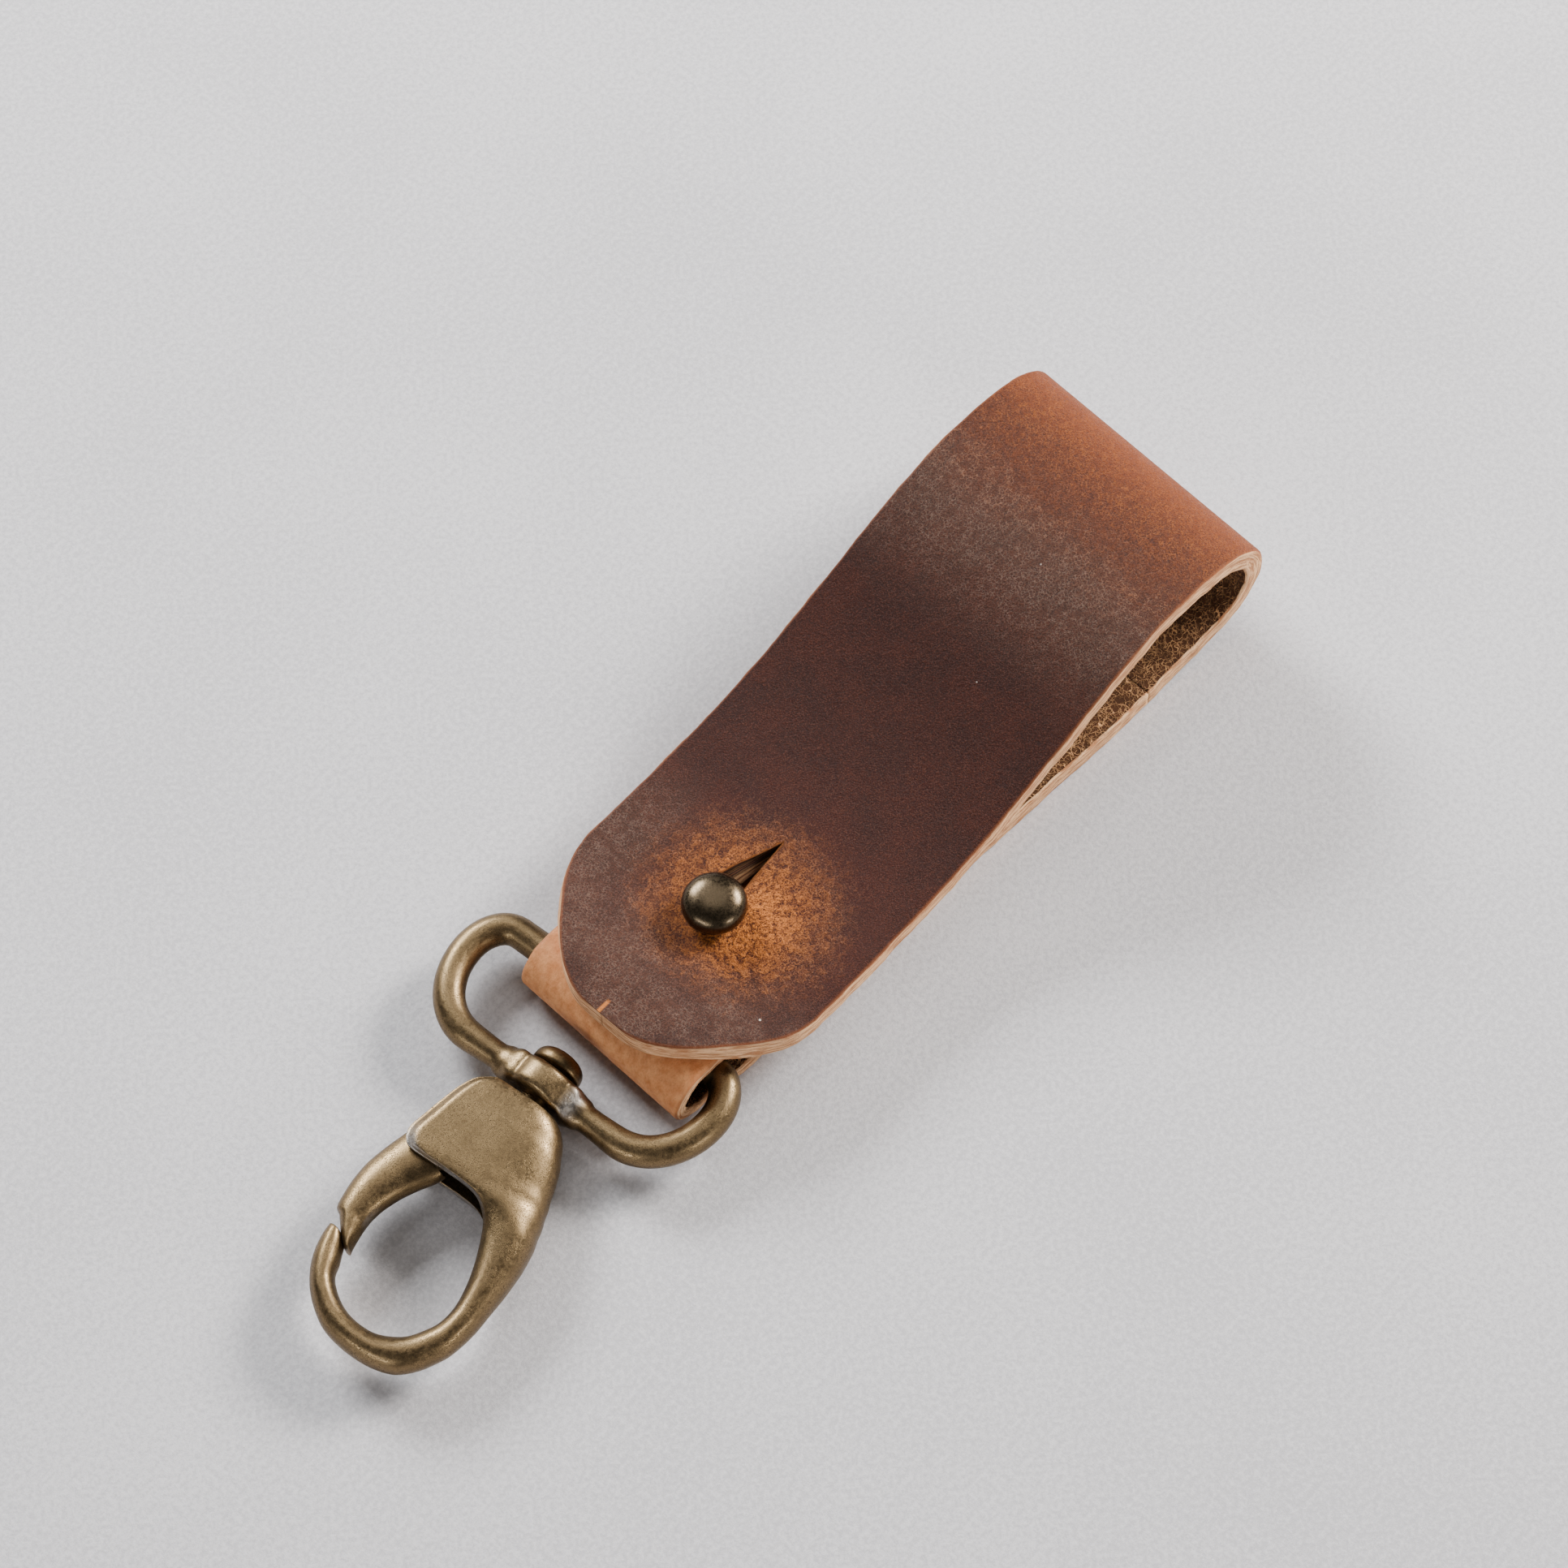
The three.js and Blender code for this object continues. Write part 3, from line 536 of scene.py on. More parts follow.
def rounded(values, width=7):
    # a running mean, with the ends held
    kernel = np.hanning(width + 2)[1:-1]
    kernel /= kernel.sum()
    return np.convolve(np.pad(values, width // 2, mode="edge"), kernel, "valid")


lineX, lineZ, lineT = rounded(lineX), rounded(lineZ), rounded(lineT)
slopeX, slopeZ = np.gradient(lineX), np.gradient(lineZ)
slopeLength = np.hypot(slopeX, slopeZ)
slopeX, slopeZ = slopeX / slopeLength, slopeZ / slopeLength
splitAlong = float(fineAlong[(fineAlong > 100) & (lineX < strapShape["splitX"])][0])
endAlong = float(fineAlong[-1])
print("strap length", round(endAlong - fineAlong[0], 1), "mm; split at", round(splitAlong, 1))


def onStrap(along, across, through):
    # a place on the strap: the middle line at along, moved across Y, and moved through the thickness
    # along the line's normal, which points to the grain side
    x, z = np.interp(along, fineAlong, lineX), np.interp(along, fineAlong, lineZ)
    tx, tz = np.interp(along, fineAlong, slopeX), np.interp(along, fineAlong, slopeZ)
    return np.stack([x - tz * through, across, z + tx * through], -1)


def edgeProfile(roundness, topCount=74, sideCount=5, roundCount=5):
    # the strap's cross-section as columns: share across, inset from the outline, share through the
    # thickness, and how much each column is cut edge, flesh or rim
    quarter = np.linspace(0, math.pi / 2, roundCount + 1)
    rows = []
    for v in np.linspace(-1, 1, topCount):
        rows.append((v, roundness, 1.0, 0.0, 0.0, 0.0, 0.0))
    for sideSign in (1, -1):
        for a in quarter[1:]:
            near = a / quarter[-1]
            inset, drop = roundness * (1 - math.sin(a)), roundness * (1 - math.cos(a))
            cut, rim = smoothStep(0.55, 0.9, near), smoothStep(0.0, 0.5, near)
            rows.append((sideSign, inset, 1.0, -drop, cut, 0.0, rim))
        for share in np.linspace(0, 1, sideCount + 2)[1:-1]:
            rows.append((sideSign, 0.0, 1.0 - 2 * share, -roundness * (1 - 2 * share), 1.0, 0.0, 0.0))
        for a in quarter[::-1][:-1]:
            inset, drop = roundness * (1 - math.sin(a)), roundness * (1 - math.cos(a))
            rows.append((sideSign, inset, -1.0, drop, 1.0, 0.0, 0.0))
        if sideSign == 1:
            for v in np.linspace(1, -1, topCount // 2):
                rows.append((v, roundness, -1.0, 0.0, 0.0, 1.0, 0.0))
            leftStart = len(rows)
    left = rows[leftStart:]
    rows[leftStart:] = left[::-1]
    return np.array(rows)


def strapPiece(name, rowsOf, rowCount):
    # rowsOf gives every row's place along and half width; the section is carried along them, one column
    # of the section at a time, each a whole array of rows
    section = edgeProfile(strapShape["edgeRound"])
    grid = np.zeros((rowCount, len(section), 3))
    place = np.zeros_like(grid)
    zone = np.zeros_like(grid)
    for j, (v, inset, through, extra, cut, flesh, rim) in enumerate(section):
        along, half = rowsOf(inset, np.sign(v))
        thick = np.interp(along, fineAlong, lineT) / 2
        waver = 0.0
        if abs(v) == 1:
            waver = strapShape["wander"] * ripple(along + 40 * v, 5, 0.9) * (0.35 + 0.65 * cut)
        across = v * (half + waver)
        depth = through * thick + extra
        point = onStrap(along, across, depth)
        # a raised lip along the slit, and a shallow dent round the stud
        lip = strapShape["lip"] * np.exp(-((across - 1.9) / 1.5) ** 2)
        lip *= smoothStep(12.5, 4.0, along) * smoothStep(-1.0, 3.0, along)
        dent = strapShape["dent"] * np.exp(-(along ** 2 + across ** 2) / 60.0)
        point[:, 2] += np.where(along < 25, np.where(along < 20, lip, 0.0) - dent, 0.0)
        # the fold runs a little further on one side, and the turned end on the other
        share = 0.5 + across / strapShape["width"]
        atFold = smoothStep(46, 74, along) * smoothStep(splitAlong - 2, 92, along)
        atTab = smoothStep(-9.0, strapShape["barX"], point[:, 0]) * (along > splitAlong)
        point[:, 0] += strapShape["foldSkew"] * share * atFold - strapShape["tabSkew"] * (1 - share) * atTab
        grid[:, j] = point
        place[:, j] = np.stack([along, across, depth], -1)
        zone[:, j] = np.array([cut, flesh, rim])
    return closedTube(name, fromStud(grid), leather, {"place": place, "zone": zone})


flapRadius = strapShape["width"] / 2


def flapRows(inset, sideOf):
    # the round end as an arc inset from its outline, then straight sides
    turn = np.linspace(0, math.pi / 2, 46)
    straight = np.concatenate([np.linspace(0, 60, 120)[1:], np.linspace(60, splitAlong, 110)[1:]])
    along = np.concatenate([-(flapRadius - inset) * np.cos(turn), straight])
    half = np.concatenate([(flapRadius - inset) * np.sin(turn), np.full(len(straight), flapRadius - inset)])
    flattened = strapShape["endFlat" if sideOf > 0 else "endFlatFar"] * np.sin(2 * turn) ** 2
    half[:len(turn)] -= flattened
    half -= strapShape["backNarrow"] * smoothStep(88.0, splitAlong, along)
    return along, half


backEdge = np.array([[60.0, 17.3], [56.0, 17.2], [-10.1, 13.7], [-12.6, 12.9], [-24.0, 12.9]])
tabStart = float(fineAlong[(fineAlong > splitAlong) & (lineX < strapShape["barX"])][0])


def backRows(inset, sideOf):
    # the lower layer narrows towards the ring, and keeps its width in the turned end
    lower, turned = np.linspace(splitAlong, tabStart, 150), np.linspace(tabStart, endAlong - 0.3, 110)
    along = np.concatenate([lower, turned[1:]])
    x = np.where(along < tabStart, np.interp(along, fineAlong, lineX), strapShape["barX"])
    half = np.interp(-x, -backEdge[:, 0], backEdge[:, 1]) - inset
    return along, half


strapFlap = strapPiece("strapFlap", flapRows, 46 + 119 + 109)
strapBack = strapPiece("strapBack", backRows, 150 + 109)


buttonholeShape = {
    "radius": 2.45, "slitTip": 12.2, "slitFrom": 6.5, "slitWide": 0.806, "slitNarrow": 0.35,
    "bottom": 4.5, "top": 14.0, "lean": 2.7,
}


def buttonholeCutter():
    # a round hole with a tapering slit, as an upright prism
    b = buttonholeShape
    angle = np.linspace(math.radians(28), math.radians(340), 40)
    ring = np.stack([b["radius"] * np.cos(angle), b["radius"] * np.sin(angle)], 1)
    tip, wide, narrow = (b["slitTip"], 0.1), (b["slitFrom"], b["slitWide"]), (b["slitFrom"], -b["slitNarrow"])
    outline = np.vstack([tip, wide, ring, narrow])
    count = len(outline)
    levels = np.concatenate([[b["bottom"]], np.linspace(6.4, 10.6, 15), [b["top"]]])
    rows = len(levels)
    x, y = np.tile(outline[:, 0], (rows, 1)), np.tile(outline[:, 1], (rows, 1))
    z = np.tile(levels[:, None], (1, count))
    # the wall on the gate's side leans back, most of all near the stud
    leaning = smoothStep(0.0, 0.8, y) * smoothStep(0.0, 2.5, x) * (1 - x / b["slitTip"])
    y = y + b["lean"] * leaning * np.clip((z - 6.4) / 3.0, 0, 1)
    points = np.stack([x, y, z], -1).reshape(-1, 3)
    j = np.arange(count)
    sides = gridFaces(rows, count)
    caps = [np.array([j[::-1]]), np.array([j + (rows - 1) * count])]
    place = np.column_stack([points[:, 0], points[:, 1], points[:, 2] - 8])
    zone = np.tile([1.0, 0.0, 0.0], (len(points), 1))
    cutter = newPiece("cutter", fromStud(points), [sides, *caps], leather, {"place": place, "zone": zone})
    return weld(cutter)


cutAway(strapFlap, buttonholeCutter())
print("strap ready")


metalLook = {
    "antiqueDark": shown(56, 46, 34), "antiqueRubbed": shown(158, 132, 94), "silver": shown(190, 184, 178),
    "studDark": shown(70, 59, 46), "studRubbed": shown(118, 102, 78),
    "rivetDark": shown(72, 57, 40), "rivetRubbed": shown(150, 124, 86), "steel": shown(172, 168, 160),
}


def makeBrass(name, finish, rub, scale=1.0, relief=0.35, wornSilver=True, polish=0.0):
    material, tree, shader = newMaterial(name)
    dark, rubbed = metalLook[finish + "Dark"], metalLook[finish + "Rubbed"]
    patina = useGroup(tree, patinaGroup, {"Dark": dark, "Rubbed": rubbed, "Rub": rub, "Scale": scale})
    colour, rough = patina.outputs["Colour"], patina.outputs["Roughness"]
    rough = minus(tree, rough, polish)
    if wornSilver:
        worn = attribute(tree, "worn", "Fac")
        place = put(tree, "TexCoord").outputs["Object"]
        scratch = noise(tree, place, 2600.0, 3.0, 0.6, 0.0, (1.0, 0.25, 1.0))
        bare = times(tree, worn, spread(tree, scratch, 0.3, 0.6, 0.55, 1.0))
        colour = blendColour(tree, bare, colour, metalLook["silver"])
        rough = minus(tree, rough, times(tree, bare, 0.05))
    tree.links.new(colour, shader.inputs["Base Color"])
    tree.links.new(rough, shader.inputs["Roughness"])
    shader.inputs["Metallic"].default_value = 1.0
    tree.links.new(bump(tree, patina.outputs["Height"], relief, 0.00005), shader.inputs["Normal"])
    return material


antiqueBrass = makeBrass("antiqueBrass", "antique", 0.42)
studBrass = makeBrass("studBrass", "stud", 0.25, 1.2, 0.12, False, 0.10)
rivetBrass = makeBrass("rivetBrass", "rivet", 0.3, 1.2, 0.2, False)


def makeSteel():
    # drawn wire: faint lines along it, and smudges
    material, tree, shader = newMaterial("dullSteel")
    place = put(tree, "TexCoord").outputs["Object"]
    drawn = noise(tree, place, 3000.0, 3.0, 0.6, 0.0, (1.0, 1.0, 0.2))
    smudge = noise(tree, place, 700.0, 2.0, 0.5)
    colour = blendColour(tree, spread(tree, smudge, 0.35, 0.65), metalLook["steel"], shown(128, 120, 108))
    tree.links.new(colour, shader.inputs["Base Color"])
    tree.links.new(spread(tree, drawn, 0.3, 0.7, 0.28, 0.42), shader.inputs["Roughness"])
    shader.inputs["Metallic"].default_value = 1.0
    tree.links.new(bump(tree, drawn, 0.15, 0.00003), shader.inputs["Normal"])
    return material


steel = makeSteel()


def turnedPiece(name, profile, material, place, segments=96):
    # a profile of radius and height turned about Z, then placed by the function given
    profile = np.asarray(profile, float)
    angle = np.linspace(0, 2 * math.pi, segments, endpoint=False)
    r, h = profile[:, 0][:, None], profile[:, 1][:, None]
    grid = np.stack([r * np.cos(angle), r * np.sin(angle), h + 0 * angle], -1)
    return closedTube(name, place(grid), material, {"worn": np.zeros(grid.shape[:2])})


def roundedDome(radius, low, high, middle, upperPower, lowerPower, count=26):
    # side and top of a button head: two superellipse quarters meeting at the widest height
    a = np.linspace(-math.pi / 2 * 0.86, 0, count // 2)
    p, q = 2 / lowerPower, 2 / upperPower
    lower = np.stack([radius * np.cos(a) ** p, middle - (middle - low) * np.abs(np.sin(a)) ** p], 1)
    b = np.linspace(0, math.pi / 2, count)[1:]
    upper = np.stack([radius * np.cos(b) ** q, middle + (high - middle) * np.sin(b) ** q], 1)
    return np.vstack([lower, upper])


studShape = {
    "head": 3.93, "headLow": 9.8, "headHigh": 13.9, "widest": 11.5, "neck": 2.1,
    "flange": 5.0, "flangeBottom": 5.5, "flangeTop": 6.1, "ease": 0.15,
    "barrel": 2.1, "barrelBottom": 1.2, "bore": 1.3, "boreTop": 4.8,
}


def makeStud():
    # from the bore for the screw out to the barrel, the flange, the neck and the rounded head
    s = studShape
    head = roundedDome(s["head"], s["headLow"], s["headHigh"], s["widest"], 2.35, 2.2)
    rim, ease, low, top = s["flange"], s["ease"], s["flangeBottom"], s["flangeTop"]
    profile = [
        (0.0, s["boreTop"]), (s["bore"], s["boreTop"]), (s["bore"], s["barrelBottom"]),
        (s["barrel"], s["barrelBottom"]), (s["barrel"], low), (rim - ease, low), (rim, low + ease),
        (rim, top - ease), (rim - ease, top), (s["neck"], top), (s["neck"], s["headLow"]),
        (head[0, 0], s["headLow"]),
    ]
    return turnedPiece("buttonStud", np.vstack([profile, head]), studBrass, fromStud)


buttonStud = makeStud()


def frameOf(jointName, axisIs):
    # a joint's place in millimetres and the turn about Z of its axis
    joint = joints[jointName]
    x, y, _ = joint["axis"]
    yaw = math.atan2(y, x) - (math.pi / 2 if axisIs == "y" else 0.0)
    return np.array(joint["pos_m"]) / mm, yaw


def placer(origin, yaw):
    # turns points about Z, moves them to the origin given, and makes them metres
    turn = np.array([[math.cos(yaw), math.sin(yaw), 0], [-math.sin(yaw), math.cos(yaw), 0], [0, 0, 1]])
    return lambda grid: (np.asarray(grid, float) @ turn + origin) * mm


ringOrigin, ringYaw = frameOf("loop_swing", "y")
onRing = placer(ringOrigin, ringYaw)
ringShape = {
    "outY": 18.4, "nearSide": 13.9, "widestAt": 5.2, "lobeDepth": 14.0, "barCorner": 3.7,
    "nearCorner": 7.4, "straight": 3.5, "wire": 1.95, "armWire": 1.68,
    "boss": 4.05, "bossHalf": 2.05, "neck": 2.75, "neckEnd": 6.4,
}


def ringPath():
    # closed middle line: arm, round lobe of two quarter ellipses, bar, and the other lobe back
    s = ringShape
    turn = np.linspace(0, math.pi / 2, 40)
    wide, depth, out = s["widestAt"], s["lobeDepth"], s["outY"]
    nearTurn, farTurn = s["nearCorner"], s["barCorner"]
    near = np.stack([-wide - (depth - wide) * np.cos(turn), out - nearTurn + nearTurn * np.sin(turn)], 1)
    far = np.stack([-wide + wide * np.sin(turn), out - farTurn + farTurn * np.cos(turn)], 1)
    arm = [[-s["nearSide"], 0.0], [-s["nearSide"], s["straight"]]]
    half = np.vstack([arm, near, far[1:], [[0.0, 0.0]]])
    other = half[::-1][1:-1] * np.array([1, -1])
    return np.vstack([half, other, half[:1]])


def makeRing():
    # an oval section carried along the path; between the necks it grows to the round boss, and squarer
    s = ringShape
    path = ringPath()
    length = np.concatenate([[0], np.cumsum(np.hypot(*np.diff(path, axis=0).T))])
    at = np.linspace(0, length[-1], 361)[:-1]
    line = np.stack([np.interp(at, length, path[:, k]) for k in (0, 1)], 1)
    soft = np.hanning(9)[1:-1] / np.hanning(9).sum()
    line = sum(weight * np.roll(line, shift, 0) for weight, shift in zip(soft, range(-3, 4)))
    ahead = np.roll(line, -1, 0) - np.roll(line, 1, 0)
    ahead /= np.linalg.norm(ahead, axis=1)[:, None]
    outwards = np.stack([ahead[:, 1], -ahead[:, 0]], 1)
    y = np.abs(line[:, 1])
    nearSide = smoothStep(-10.5, -12.8, line[:, 0])
    wire = s["wire"] + (s["armWire"] - s["wire"]) * nearSide * smoothStep(13.0, 7.0, y)
    disc = np.sqrt(np.maximum(s["boss"] ** 2 - y ** 2, 0.0))
    neck = wire + (s["neck"] - wire) * smoothStep(s["neckEnd"], 3.2, y)
    inBoss = nearSide * smoothStep(s["neckEnd"] + 0.3, s["neckEnd"] - 0.8, y)
    tall = np.where(nearSide > 0.5, np.maximum(np.maximum(disc, neck), wire), wire)
    wide = wire + (s["bossHalf"] + 0.12 * smoothStep(6.0, 4.4, y) * smoothStep(3.2, 4.4, y) - wire) * inBoss
    power = 2.0 + 2.6 * nearSide * smoothStep(5.2, 3.6, y)
    around = np.linspace(0, 2 * math.pi, 40, endpoint=False)
    c, d = np.cos(around), np.sin(around)
    share = 2.0 / power[:, None]
    across = np.sign(c) * np.abs(c) ** share * wide[:, None]
    up = np.sign(d) * np.abs(d) ** share * tall[:, None]
    grid = np.stack([line[:, :1] + outwards[:, :1] * across, line[:, 1:] + outwards[:, 1:] * across, up], -1)
    # rubbed bare at the boss's end on one side
    bare = np.exp(-((line[:, 1] + 4.6) / 0.8) ** 2)[:, None] * nearSide[:, None] * smoothStep(0.2, 2.2, up)
    rows, columns = grid.shape[:2]
    faces = gridFaces(rows, columns)
    j, last = np.arange(columns), (rows - 1) * columns
    k = (j + 1) % columns
    closing = np.stack([last + j, last + k, k, j], -1)
    worn = {"worn": 0.75 * bare.ravel()}
    return weld(newPiece("swivelRing", onRing(grid.reshape(-1, 3)), [faces, closing], antiqueBrass, worn))


swivelRing = makeRing()
print("ring ready")


hookOrigin, hookYaw = frameOf("hook_swivel", "x")
onHook = placer(hookOrigin, hookYaw)
bodyTop = 2.75  # boss's middle to the body's top


def inHook(downAcrossUp):
    # distances down the hook, across towards the gate, and up, as the hook's own x, y, z
    g = np.array(downAcrossUp, float)
    g[..., 0] += 0.02 * np.maximum(g[..., 0] - 12.0, 0.0)
    return onHook(np.stack([-(bodyTop + g[..., 0]), g[..., 1], g[..., 2]], -1))


rivetShape = {
    "face": 2.35, "head": 3.25, "height": 2.4, "side": 0.5, "ease": 0.15,
    "shank": 1.65, "tail": 2.0, "tailFrom": -5.8, "tailLong": 0.7,
}


def makeRivet():
    # a low dome: radius by a power of cosine, height by a power of sine, on a plain shank and tail
    s = rivetShape
    a = np.linspace(0, math.pi / 2, 22)
    face, head, tail, tailEnd = s["face"], s["head"], s["tail"], s["tailFrom"] - s["tailLong"]
    rise = s["height"] - s["side"]
    dome = np.stack([head * np.cos(a) ** 0.72, face + s["side"] + rise * np.sin(a) ** 0.86], 1)
    profile = [
        (0, tailEnd), (tail, tailEnd), (tail, s["tailFrom"]), (s["shank"], s["tailFrom"]),
        (s["shank"], face), (head - s["ease"], face), (head, face + s["ease"]),
    ]

    def lengthways(grid):  # the rivet's axis lies along the hook
        return onHook(grid[..., [2, 1, 0]] * np.array([1, 1, -1]))

    return turnedPiece("swivelRivet", np.vstack([profile, dome]), rivetBrass, lengthways, 72)


swivelRivet = makeRivet()

# rows across the hook from its outer edge to its inner edge: down and across of each, then half
# thickness, how plate-like the row is, how deep the slot for the gate goes, and bare metal on the rim
hookRows = np.array([
    [0.0, -4.1, 0.0, 3.9, 2.9, 1, 0, 0],
    [0.9, -5.4, 0.6, 5.0, 3.3, 1, 0, 0],
    [2.0, -6.4, 1.7, 6.3, 3.6, 1, 0, 0],
    [3.4, -7.2, 3.3, 7.1, 3.75, 1, 0.02, 0],
    [4.6, -7.9, 5.0, 7.6, 3.85, 1, 0.68, 0],
    [6.6, -8.7, 8.2, 8.3, 3.9, 1, 0.74, 0.0],
    [8.1, -9.2, 10.9, 8.8, 3.9, 1, 0.74, 0.15],
    [9.3, -9.7, 12.4, 8.2, 3.9, 1, 0.72, 0.8],
    [10.3, -10.0, 12.9, 6.9, 3.85, 1, 0.70, 1],
    [11.6, -10.5, 12.9, 3.5, 3.8, 1, 0.62, 1],
    [12.8, -10.8, 12.9, 0.5, 3.7, 1, 0.5, 1],
    [14.0, -11.2, 13.1, -1.8, 3.55, 0.9, 0.3, 0.8],
    [15.0, -11.4, 13.7, -3.3, 3.42, 0.75, 0.12, 0.4],
    [16.2, -11.6, 14.7, -4.5, 3.3, 0.56, 0.0, 0.1],
    [17.5, -11.75, 16.1, -5.4, 3.15, 0.4, 0, 0],
    [20.3, -11.85, 19.0, -6.7, 2.88, 0.22, 0, 0],
    [22.9, -11.8, 21.8, -7.6, 2.62, 0.1, 0, 0],
    [26.0, -11.7, 24.8, -8.1, 2.42, 0.03, 0, 0],
    [29.2, -11.1, 27.2, -7.8, 2.3, 0, 0, 0],
    [31.4, -10.1, 29.0, -6.9, 2.25, 0, 0, 0],
    [33.2, -8.9, 30.5, -5.8, 2.25, 0, 0, 0],
    [34.8, -7.1, 31.5, -4.4, 2.25, 0, 0, 0],
    [35.6, -4.6, 32.2, -2.8, 2.25, 0, 0, 0],
    [35.8, -2.0, 32.4, -1.0, 2.25, 0, 0, 0],
    [35.6, 0.6, 32.2, 0.9, 2.25, 0, 0, 0],
    [35.0, 2.9, 31.6, 2.6, 2.25, 0, 0, 0],
    [33.8, 5.0, 30.6, 4.2, 2.2, 0, 0, 0],
    [32.2, 6.9, 29.4, 5.4, 2.15, 0, 0, 0],
    [30.2, 8.4, 28.0, 5.9, 2.15, 0, 0, 0],
    [28.2, 9.3, 26.9, 6.4, 2.1, 0, 0, 0],
    [26.2, 9.75, 25.9, 6.9, 2.0, 0, 0, 0],
    [24.6, 9.8, 25.1, 7.6, 1.8, 0, 0, 0],
])
hookShape = {"slotHalf": 2.3, "rimHalf": 2.9, "chamfer": 0.08, "power": 2.35, "endRound": 0.35}


def shellPiece(name, table, shape, count, material, place):
    # a body drawn as rows from an outer to an inner edge. The top is a flattened dome over each row; a
    # plate-like row ends in a chamfered rim, from which a slot runs back between two plates
    rows = smoothThrough(table, count)
    outer, inner = rows[:, 0:2], rows[:, 2:4]
    half = rows[:, 4]
    plate, slot, bare = (np.clip(rows[:, k], 0, 1) for k in (5, 6, 7))
    # both ends are drawn in, so that they close with a rounded edge
    endShrink = np.ones(count)
    endShrink[[0, -1]] = 1 - shape["endRound"]
    endShrink[[1, -2]] = 1 - shape["endRound"] * 0.35
    turn = np.linspace(0, math.pi, 34)
    v = (1 - np.cos(turn)) / 2
    round1 = (1 - np.abs(2 * v - 1) ** shape["power"]) ** (1 / shape["power"])
    t = np.clip((v - 0.5) / 0.5, 0, 1)
    fall = t ** 2
    rimShare = (shape["rimHalf"] / half)[:, None]
    plateTop = np.where(v < 0.5, round1, 1 - (1 - np.minimum((rimShare + 1) / 2 + 0.08, 1.0)) * fall)
    chamfer = smoothStep(1 - shape["chamfer"], 1.0, v)
    plateTop = plateTop * (1 - chamfer) + rimShare * chamfer
    roundPower = 2.0 + 0.4 * plate[:, None]
    wireTop = (1 - np.abs(2 * v - 1) ** roundPower) ** (1 / roundPower)
    top = half[:, None] * endShrink[:, None] * (wireTop * (1 - plate[:, None]) + plateTop * plate[:, None])
    slotted = (slot > 0.03).astype(float)
    wallZ = shape["slotHalf"] * np.minimum(1, slot / 0.12) * slotted
    columnsV = [np.tile(v, (count, 1)), np.stack([0 * slot + 1, 0 * slot + 1], 1)]
    columnsZ = [top, np.stack([(top[:, -1] + wallZ) / 2, wallZ], 1)]
    inward = np.linspace(0, 1, 6)[1:]
    columnsV.append(1 - slot[:, None] * inward)
    columnsZ.append(np.tile(wallZ[:, None], (1, 5)))
    halfV = np.hstack(columnsV)
    halfZ = np.hstack(columnsZ)
    fullV = np.hstack([halfV, halfV[:, ::-1][:, :-1]])
    fullZ = np.hstack([halfZ, -halfZ[:, ::-1][:, :-1]])
    middle = 0.5 + (fullV - 0.5) * endShrink[:, None]
    down, across = (outer[:, k, None] + (inner - outer)[:, k, None] * middle for k in (0, 1))
    grid = np.stack([down, across, fullZ], -1)
    rimHere = smoothStep(1 - shape["chamfer"] * 1.1, 1 - shape["chamfer"] * 0.5, fullV)
    rimHere *= np.abs(fullZ) > shape["slotHalf"] + 0.05
    return closedTube(name, place(grid), material, {"worn": bare[:, None] * rimHere})


hookBody = shellPiece("hookBody", hookRows, hookShape, 330, antiqueBrass, inHook)

gateRows = np.array([
    [3.7, 5.6, 3.9, 3.4, 1.9, 0, 0, 0],
    [4.6, 6.8, 4.8, 2.3, 2.0, 0, 0, 0],
    [6.6, 7.5, 7.2, 1.8, 2.0, 0, 0, 0],
    [8.6, 8.3, 9.6, 1.9, 2.0, 0, 0, 0],
    [10.4, 9.3, 11.6, 2.2, 2.0, 0, 0, 0],
    [12.2, 9.9, 13.6, 2.75, 2.0, 0, 0, 0],
    [14.4, 10.5, 15.5, 3.9, 2.05, 0, 0, 0],
    [16.7, 10.95, 17.5, 5.0, 2.1, 0, 0, 0],
    [19.2, 11.0, 19.6, 5.8, 2.1, 0, 0, 0],
    [21.4, 10.75, 21.3, 6.15, 2.05, 0, 0, 0.2],
    [22.7, 10.45, 22.5, 6.2, 2.0, 0, 0, 0.3],
    [23.2, 9.75, 23.5, 6.15, 2.0, 0, 0, 0],
    [24.0, 9.0, 24.4, 6.05, 1.95, 0, 0, 0],
    [25.2, 7.9, 25.5, 5.9, 1.9, 0, 0, 0],
    [26.2, 6.7, 26.2, 5.75, 1.7, 0, 0, 0],
])
gateShape = {"slotHalf": 0.0, "rimHalf": 1.2, "chamfer": 0.1, "power": 3.0, "endRound": 0.35}
hookGate = shellPiece("hookGate", gateRows, gateShape, 150, antiqueBrass, inHook)


pinFromBoss = (np.array(joints["gate_pivot"]["pos_m"]) / mm - hookOrigin) @ np.array([
    [math.cos(hookYaw), -math.sin(hookYaw), 0], [math.sin(hookYaw), math.cos(hookYaw), 0], [0, 0, 1]])
pinDown, pinAcross = -pinFromBoss[0] - bodyTop, pinFromBoss[1]
print("gate pin", round(pinDown, 2), "mm down and", round(pinAcross, 2), "mm across")


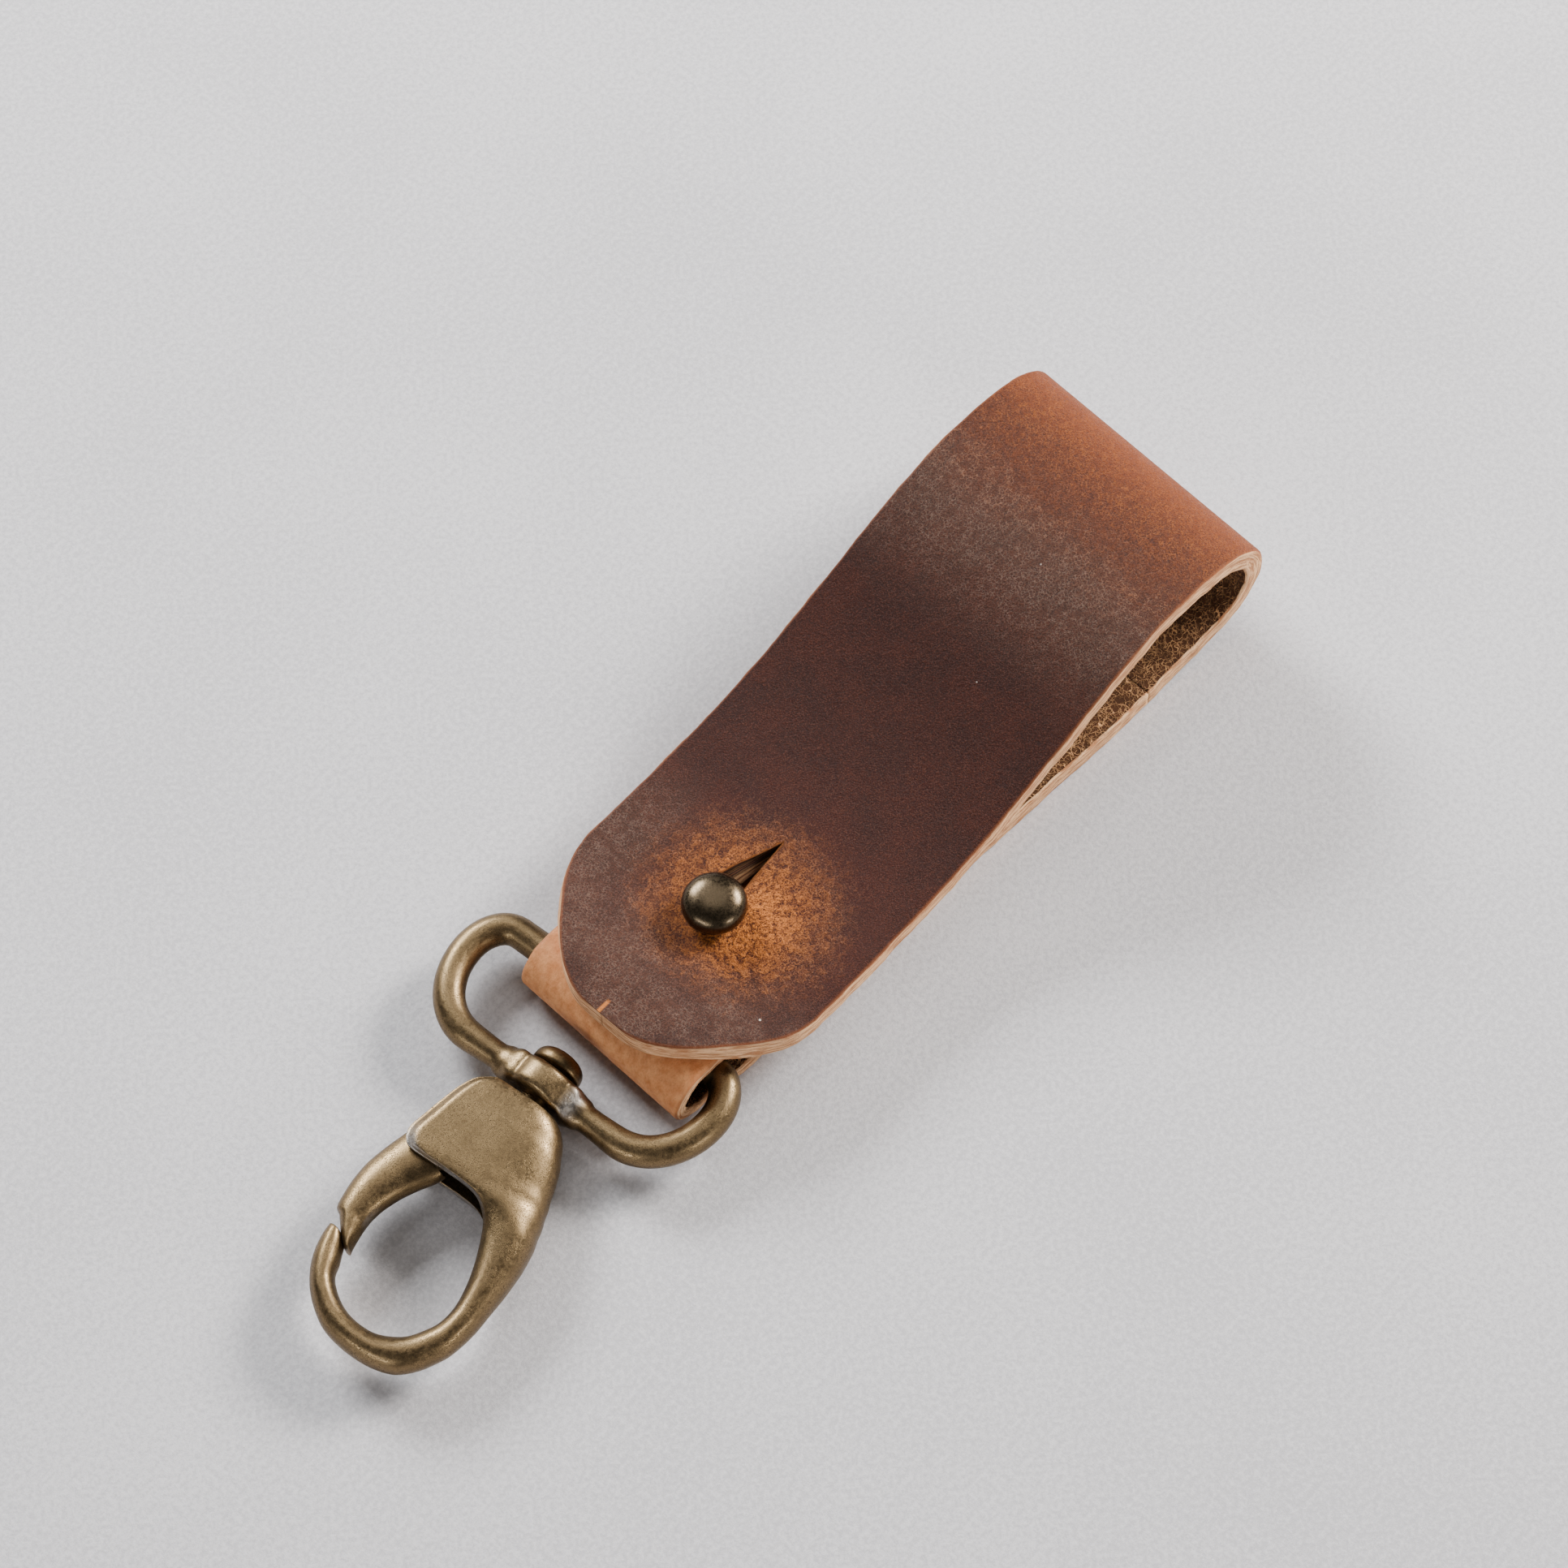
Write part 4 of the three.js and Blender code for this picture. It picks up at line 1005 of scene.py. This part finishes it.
def hookCutter(kind, low, high, radius=0.0):
    # a block between two corners, or an upright round rod at the pin, in the hook's own distances
    if kind == "block":
        x, y, z = np.meshgrid([low[0], high[0]], [low[1], high[1]], [low[2], high[2]], indexing="ij")
        points = np.stack([x.ravel(), y.ravel(), z.ravel()], 1)
        sides = [[0, 1, 3, 2], [4, 6, 7, 5], [0, 4, 5, 1], [2, 3, 7, 6], [0, 2, 6, 4], [1, 5, 7, 3]]
        faces = [np.array(sides)]
    else:
        angle = np.linspace(0, 2 * math.pi, 48, endpoint=False)
        ring = np.stack([pinDown + radius * np.cos(angle), pinAcross + radius * np.sin(angle)], 1)
        points = np.vstack([np.column_stack([ring, np.full(48, z)]) for z in (low, high)])
        j = np.arange(48)
        faces = [gridFaces(2, 48), np.array([j[::-1]]), np.array([j + 48])]
    return weld(newPiece("cutter", inHook(points), faces, antiqueBrass, {"worn": np.zeros(len(points))}))


cutAway(hookBody, hookCutter("rod", -9.0, 3.3, 1.3))  # pin hole, open below
cutAway(hookGate, hookCutter("rod", -3.0, 3.0, 1.1))
cutAway(hookGate, hookCutter("block", (0.0, -1.2, -1.15), (12.8, 6.8, 1.15)))  # room for the spring
print("hook ready")


for piece, body, node, slot in (
        (strapBack, "strap", "strap_back", "turned_leather"),
        (buttonStud, "strap", "button_stud", "dark_brass"),
        (swivelRing, "ring", "swivel_loop", "antique_brass"),
        (swivelRivet, "hook", "swivel_rivet", "dark_brass"),
        (hookBody, "hook", "hook_body", "antique_brass"),
        (hookGate, "gate", "hook_gate", "antique_brass")):
    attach(piece, body)
    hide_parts(node)

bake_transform(strapFlap)
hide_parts("strap_flap")

for nodeName, material in (("stud_screw", studBrass), ("gate_pin", steel), ("gate_spring", steel)):
    cadNode = frame["nodes"][nodeName]
    cadNode.data.materials.clear()
    cadNode.data.materials.append(material)


floorLook = {"paper": shown(212, 209, 210), "paperDark": shown(190, 187, 189), "reach": 4.0}


def makeFloor():
    # pale paper with a fine tooth
    material, tree, shader = newMaterial("paper")
    place = put(tree, "TexCoord").outputs["Object"]
    tooth = noise(tree, place, 1500.0, 4.0, 0.75)
    soft = noise(tree, place, 22.0, 3.0, 0.5)
    shade = plus(tree, times(tree, tooth, 0.8), times(tree, soft, 0.2))
    colour = blendColour(tree, spread(tree, shade, 0.62, 0.38), floorLook["paper"], floorLook["paperDark"])
    tree.links.new(colour, shader.inputs["Base Color"])
    shader.inputs["Roughness"].default_value = 0.9
    shader.inputs["Specular IOR Level"].default_value = 0.2
    tree.links.new(bump(tree, tooth, 0.35, 0.00025), shader.inputs["Normal"])
    reach = floorLook["reach"]
    mesh = bpy.data.meshes.new("floor")
    corners = [(-reach, -reach, 0), (reach, -reach, 0), (reach, reach, 0), (-reach, reach, 0)]
    mesh.from_pydata(corners, [], [(0, 1, 2, 3)])
    floor = bpy.data.objects.new("floor", mesh)
    bpy.context.scene.collection.objects.link(floor)
    mesh.materials.append(material)


makeFloor()

# each lamp: place in metres, size, power and colour; all aim at the object
lamps = {
    "key": ((0.76, -0.24, 0.45), (0.34, 0.24), 18.0, (1.0, 0.975, 0.95)),
    "leftSoftbox": ((0.14, 0.70, 0.43), (0.38, 0.26), 12.0, (0.95, 0.975, 1.0)),
    "frontStrip": ((-0.72, -0.10, 0.28), (0.50, 0.10), 2.2, (0.97, 0.98, 1.0)),
    "sideSpot": ((-0.02, -0.66, 0.22), (0.14, 0.08), 1.2, (1.0, 0.98, 0.96)),
    "overhead": ((0.28, 0.25, 0.82), (0.60, 0.60), 1.8, (1.0, 0.99, 0.98)),
}
for name, (at, size, power, tint) in lamps.items():
    data = bpy.data.lights.new(name, "AREA")
    data.shape = "RECTANGLE"
    data.size, data.size_y = size
    data.energy = power
    data.color = tint
    light = bpy.data.objects.new(name, data)
    bpy.context.scene.collection.objects.link(light)
    light.location = at
    light.rotation_mode = "QUATERNION"
    light.rotation_quaternion = (Vector((0, 0, 0.01)) - light.location).to_track_quat("-Z", "Y")

world = bpy.data.worlds.new("studio")
world.use_nodes = True
world.node_tree.nodes["Background"].inputs["Color"].default_value = (0.96, 0.97, 1.0, 1.0)
world.node_tree.nodes["Background"].inputs["Strength"].default_value = 0.11
bpy.context.scene.world = world
print("floor and lights ready")
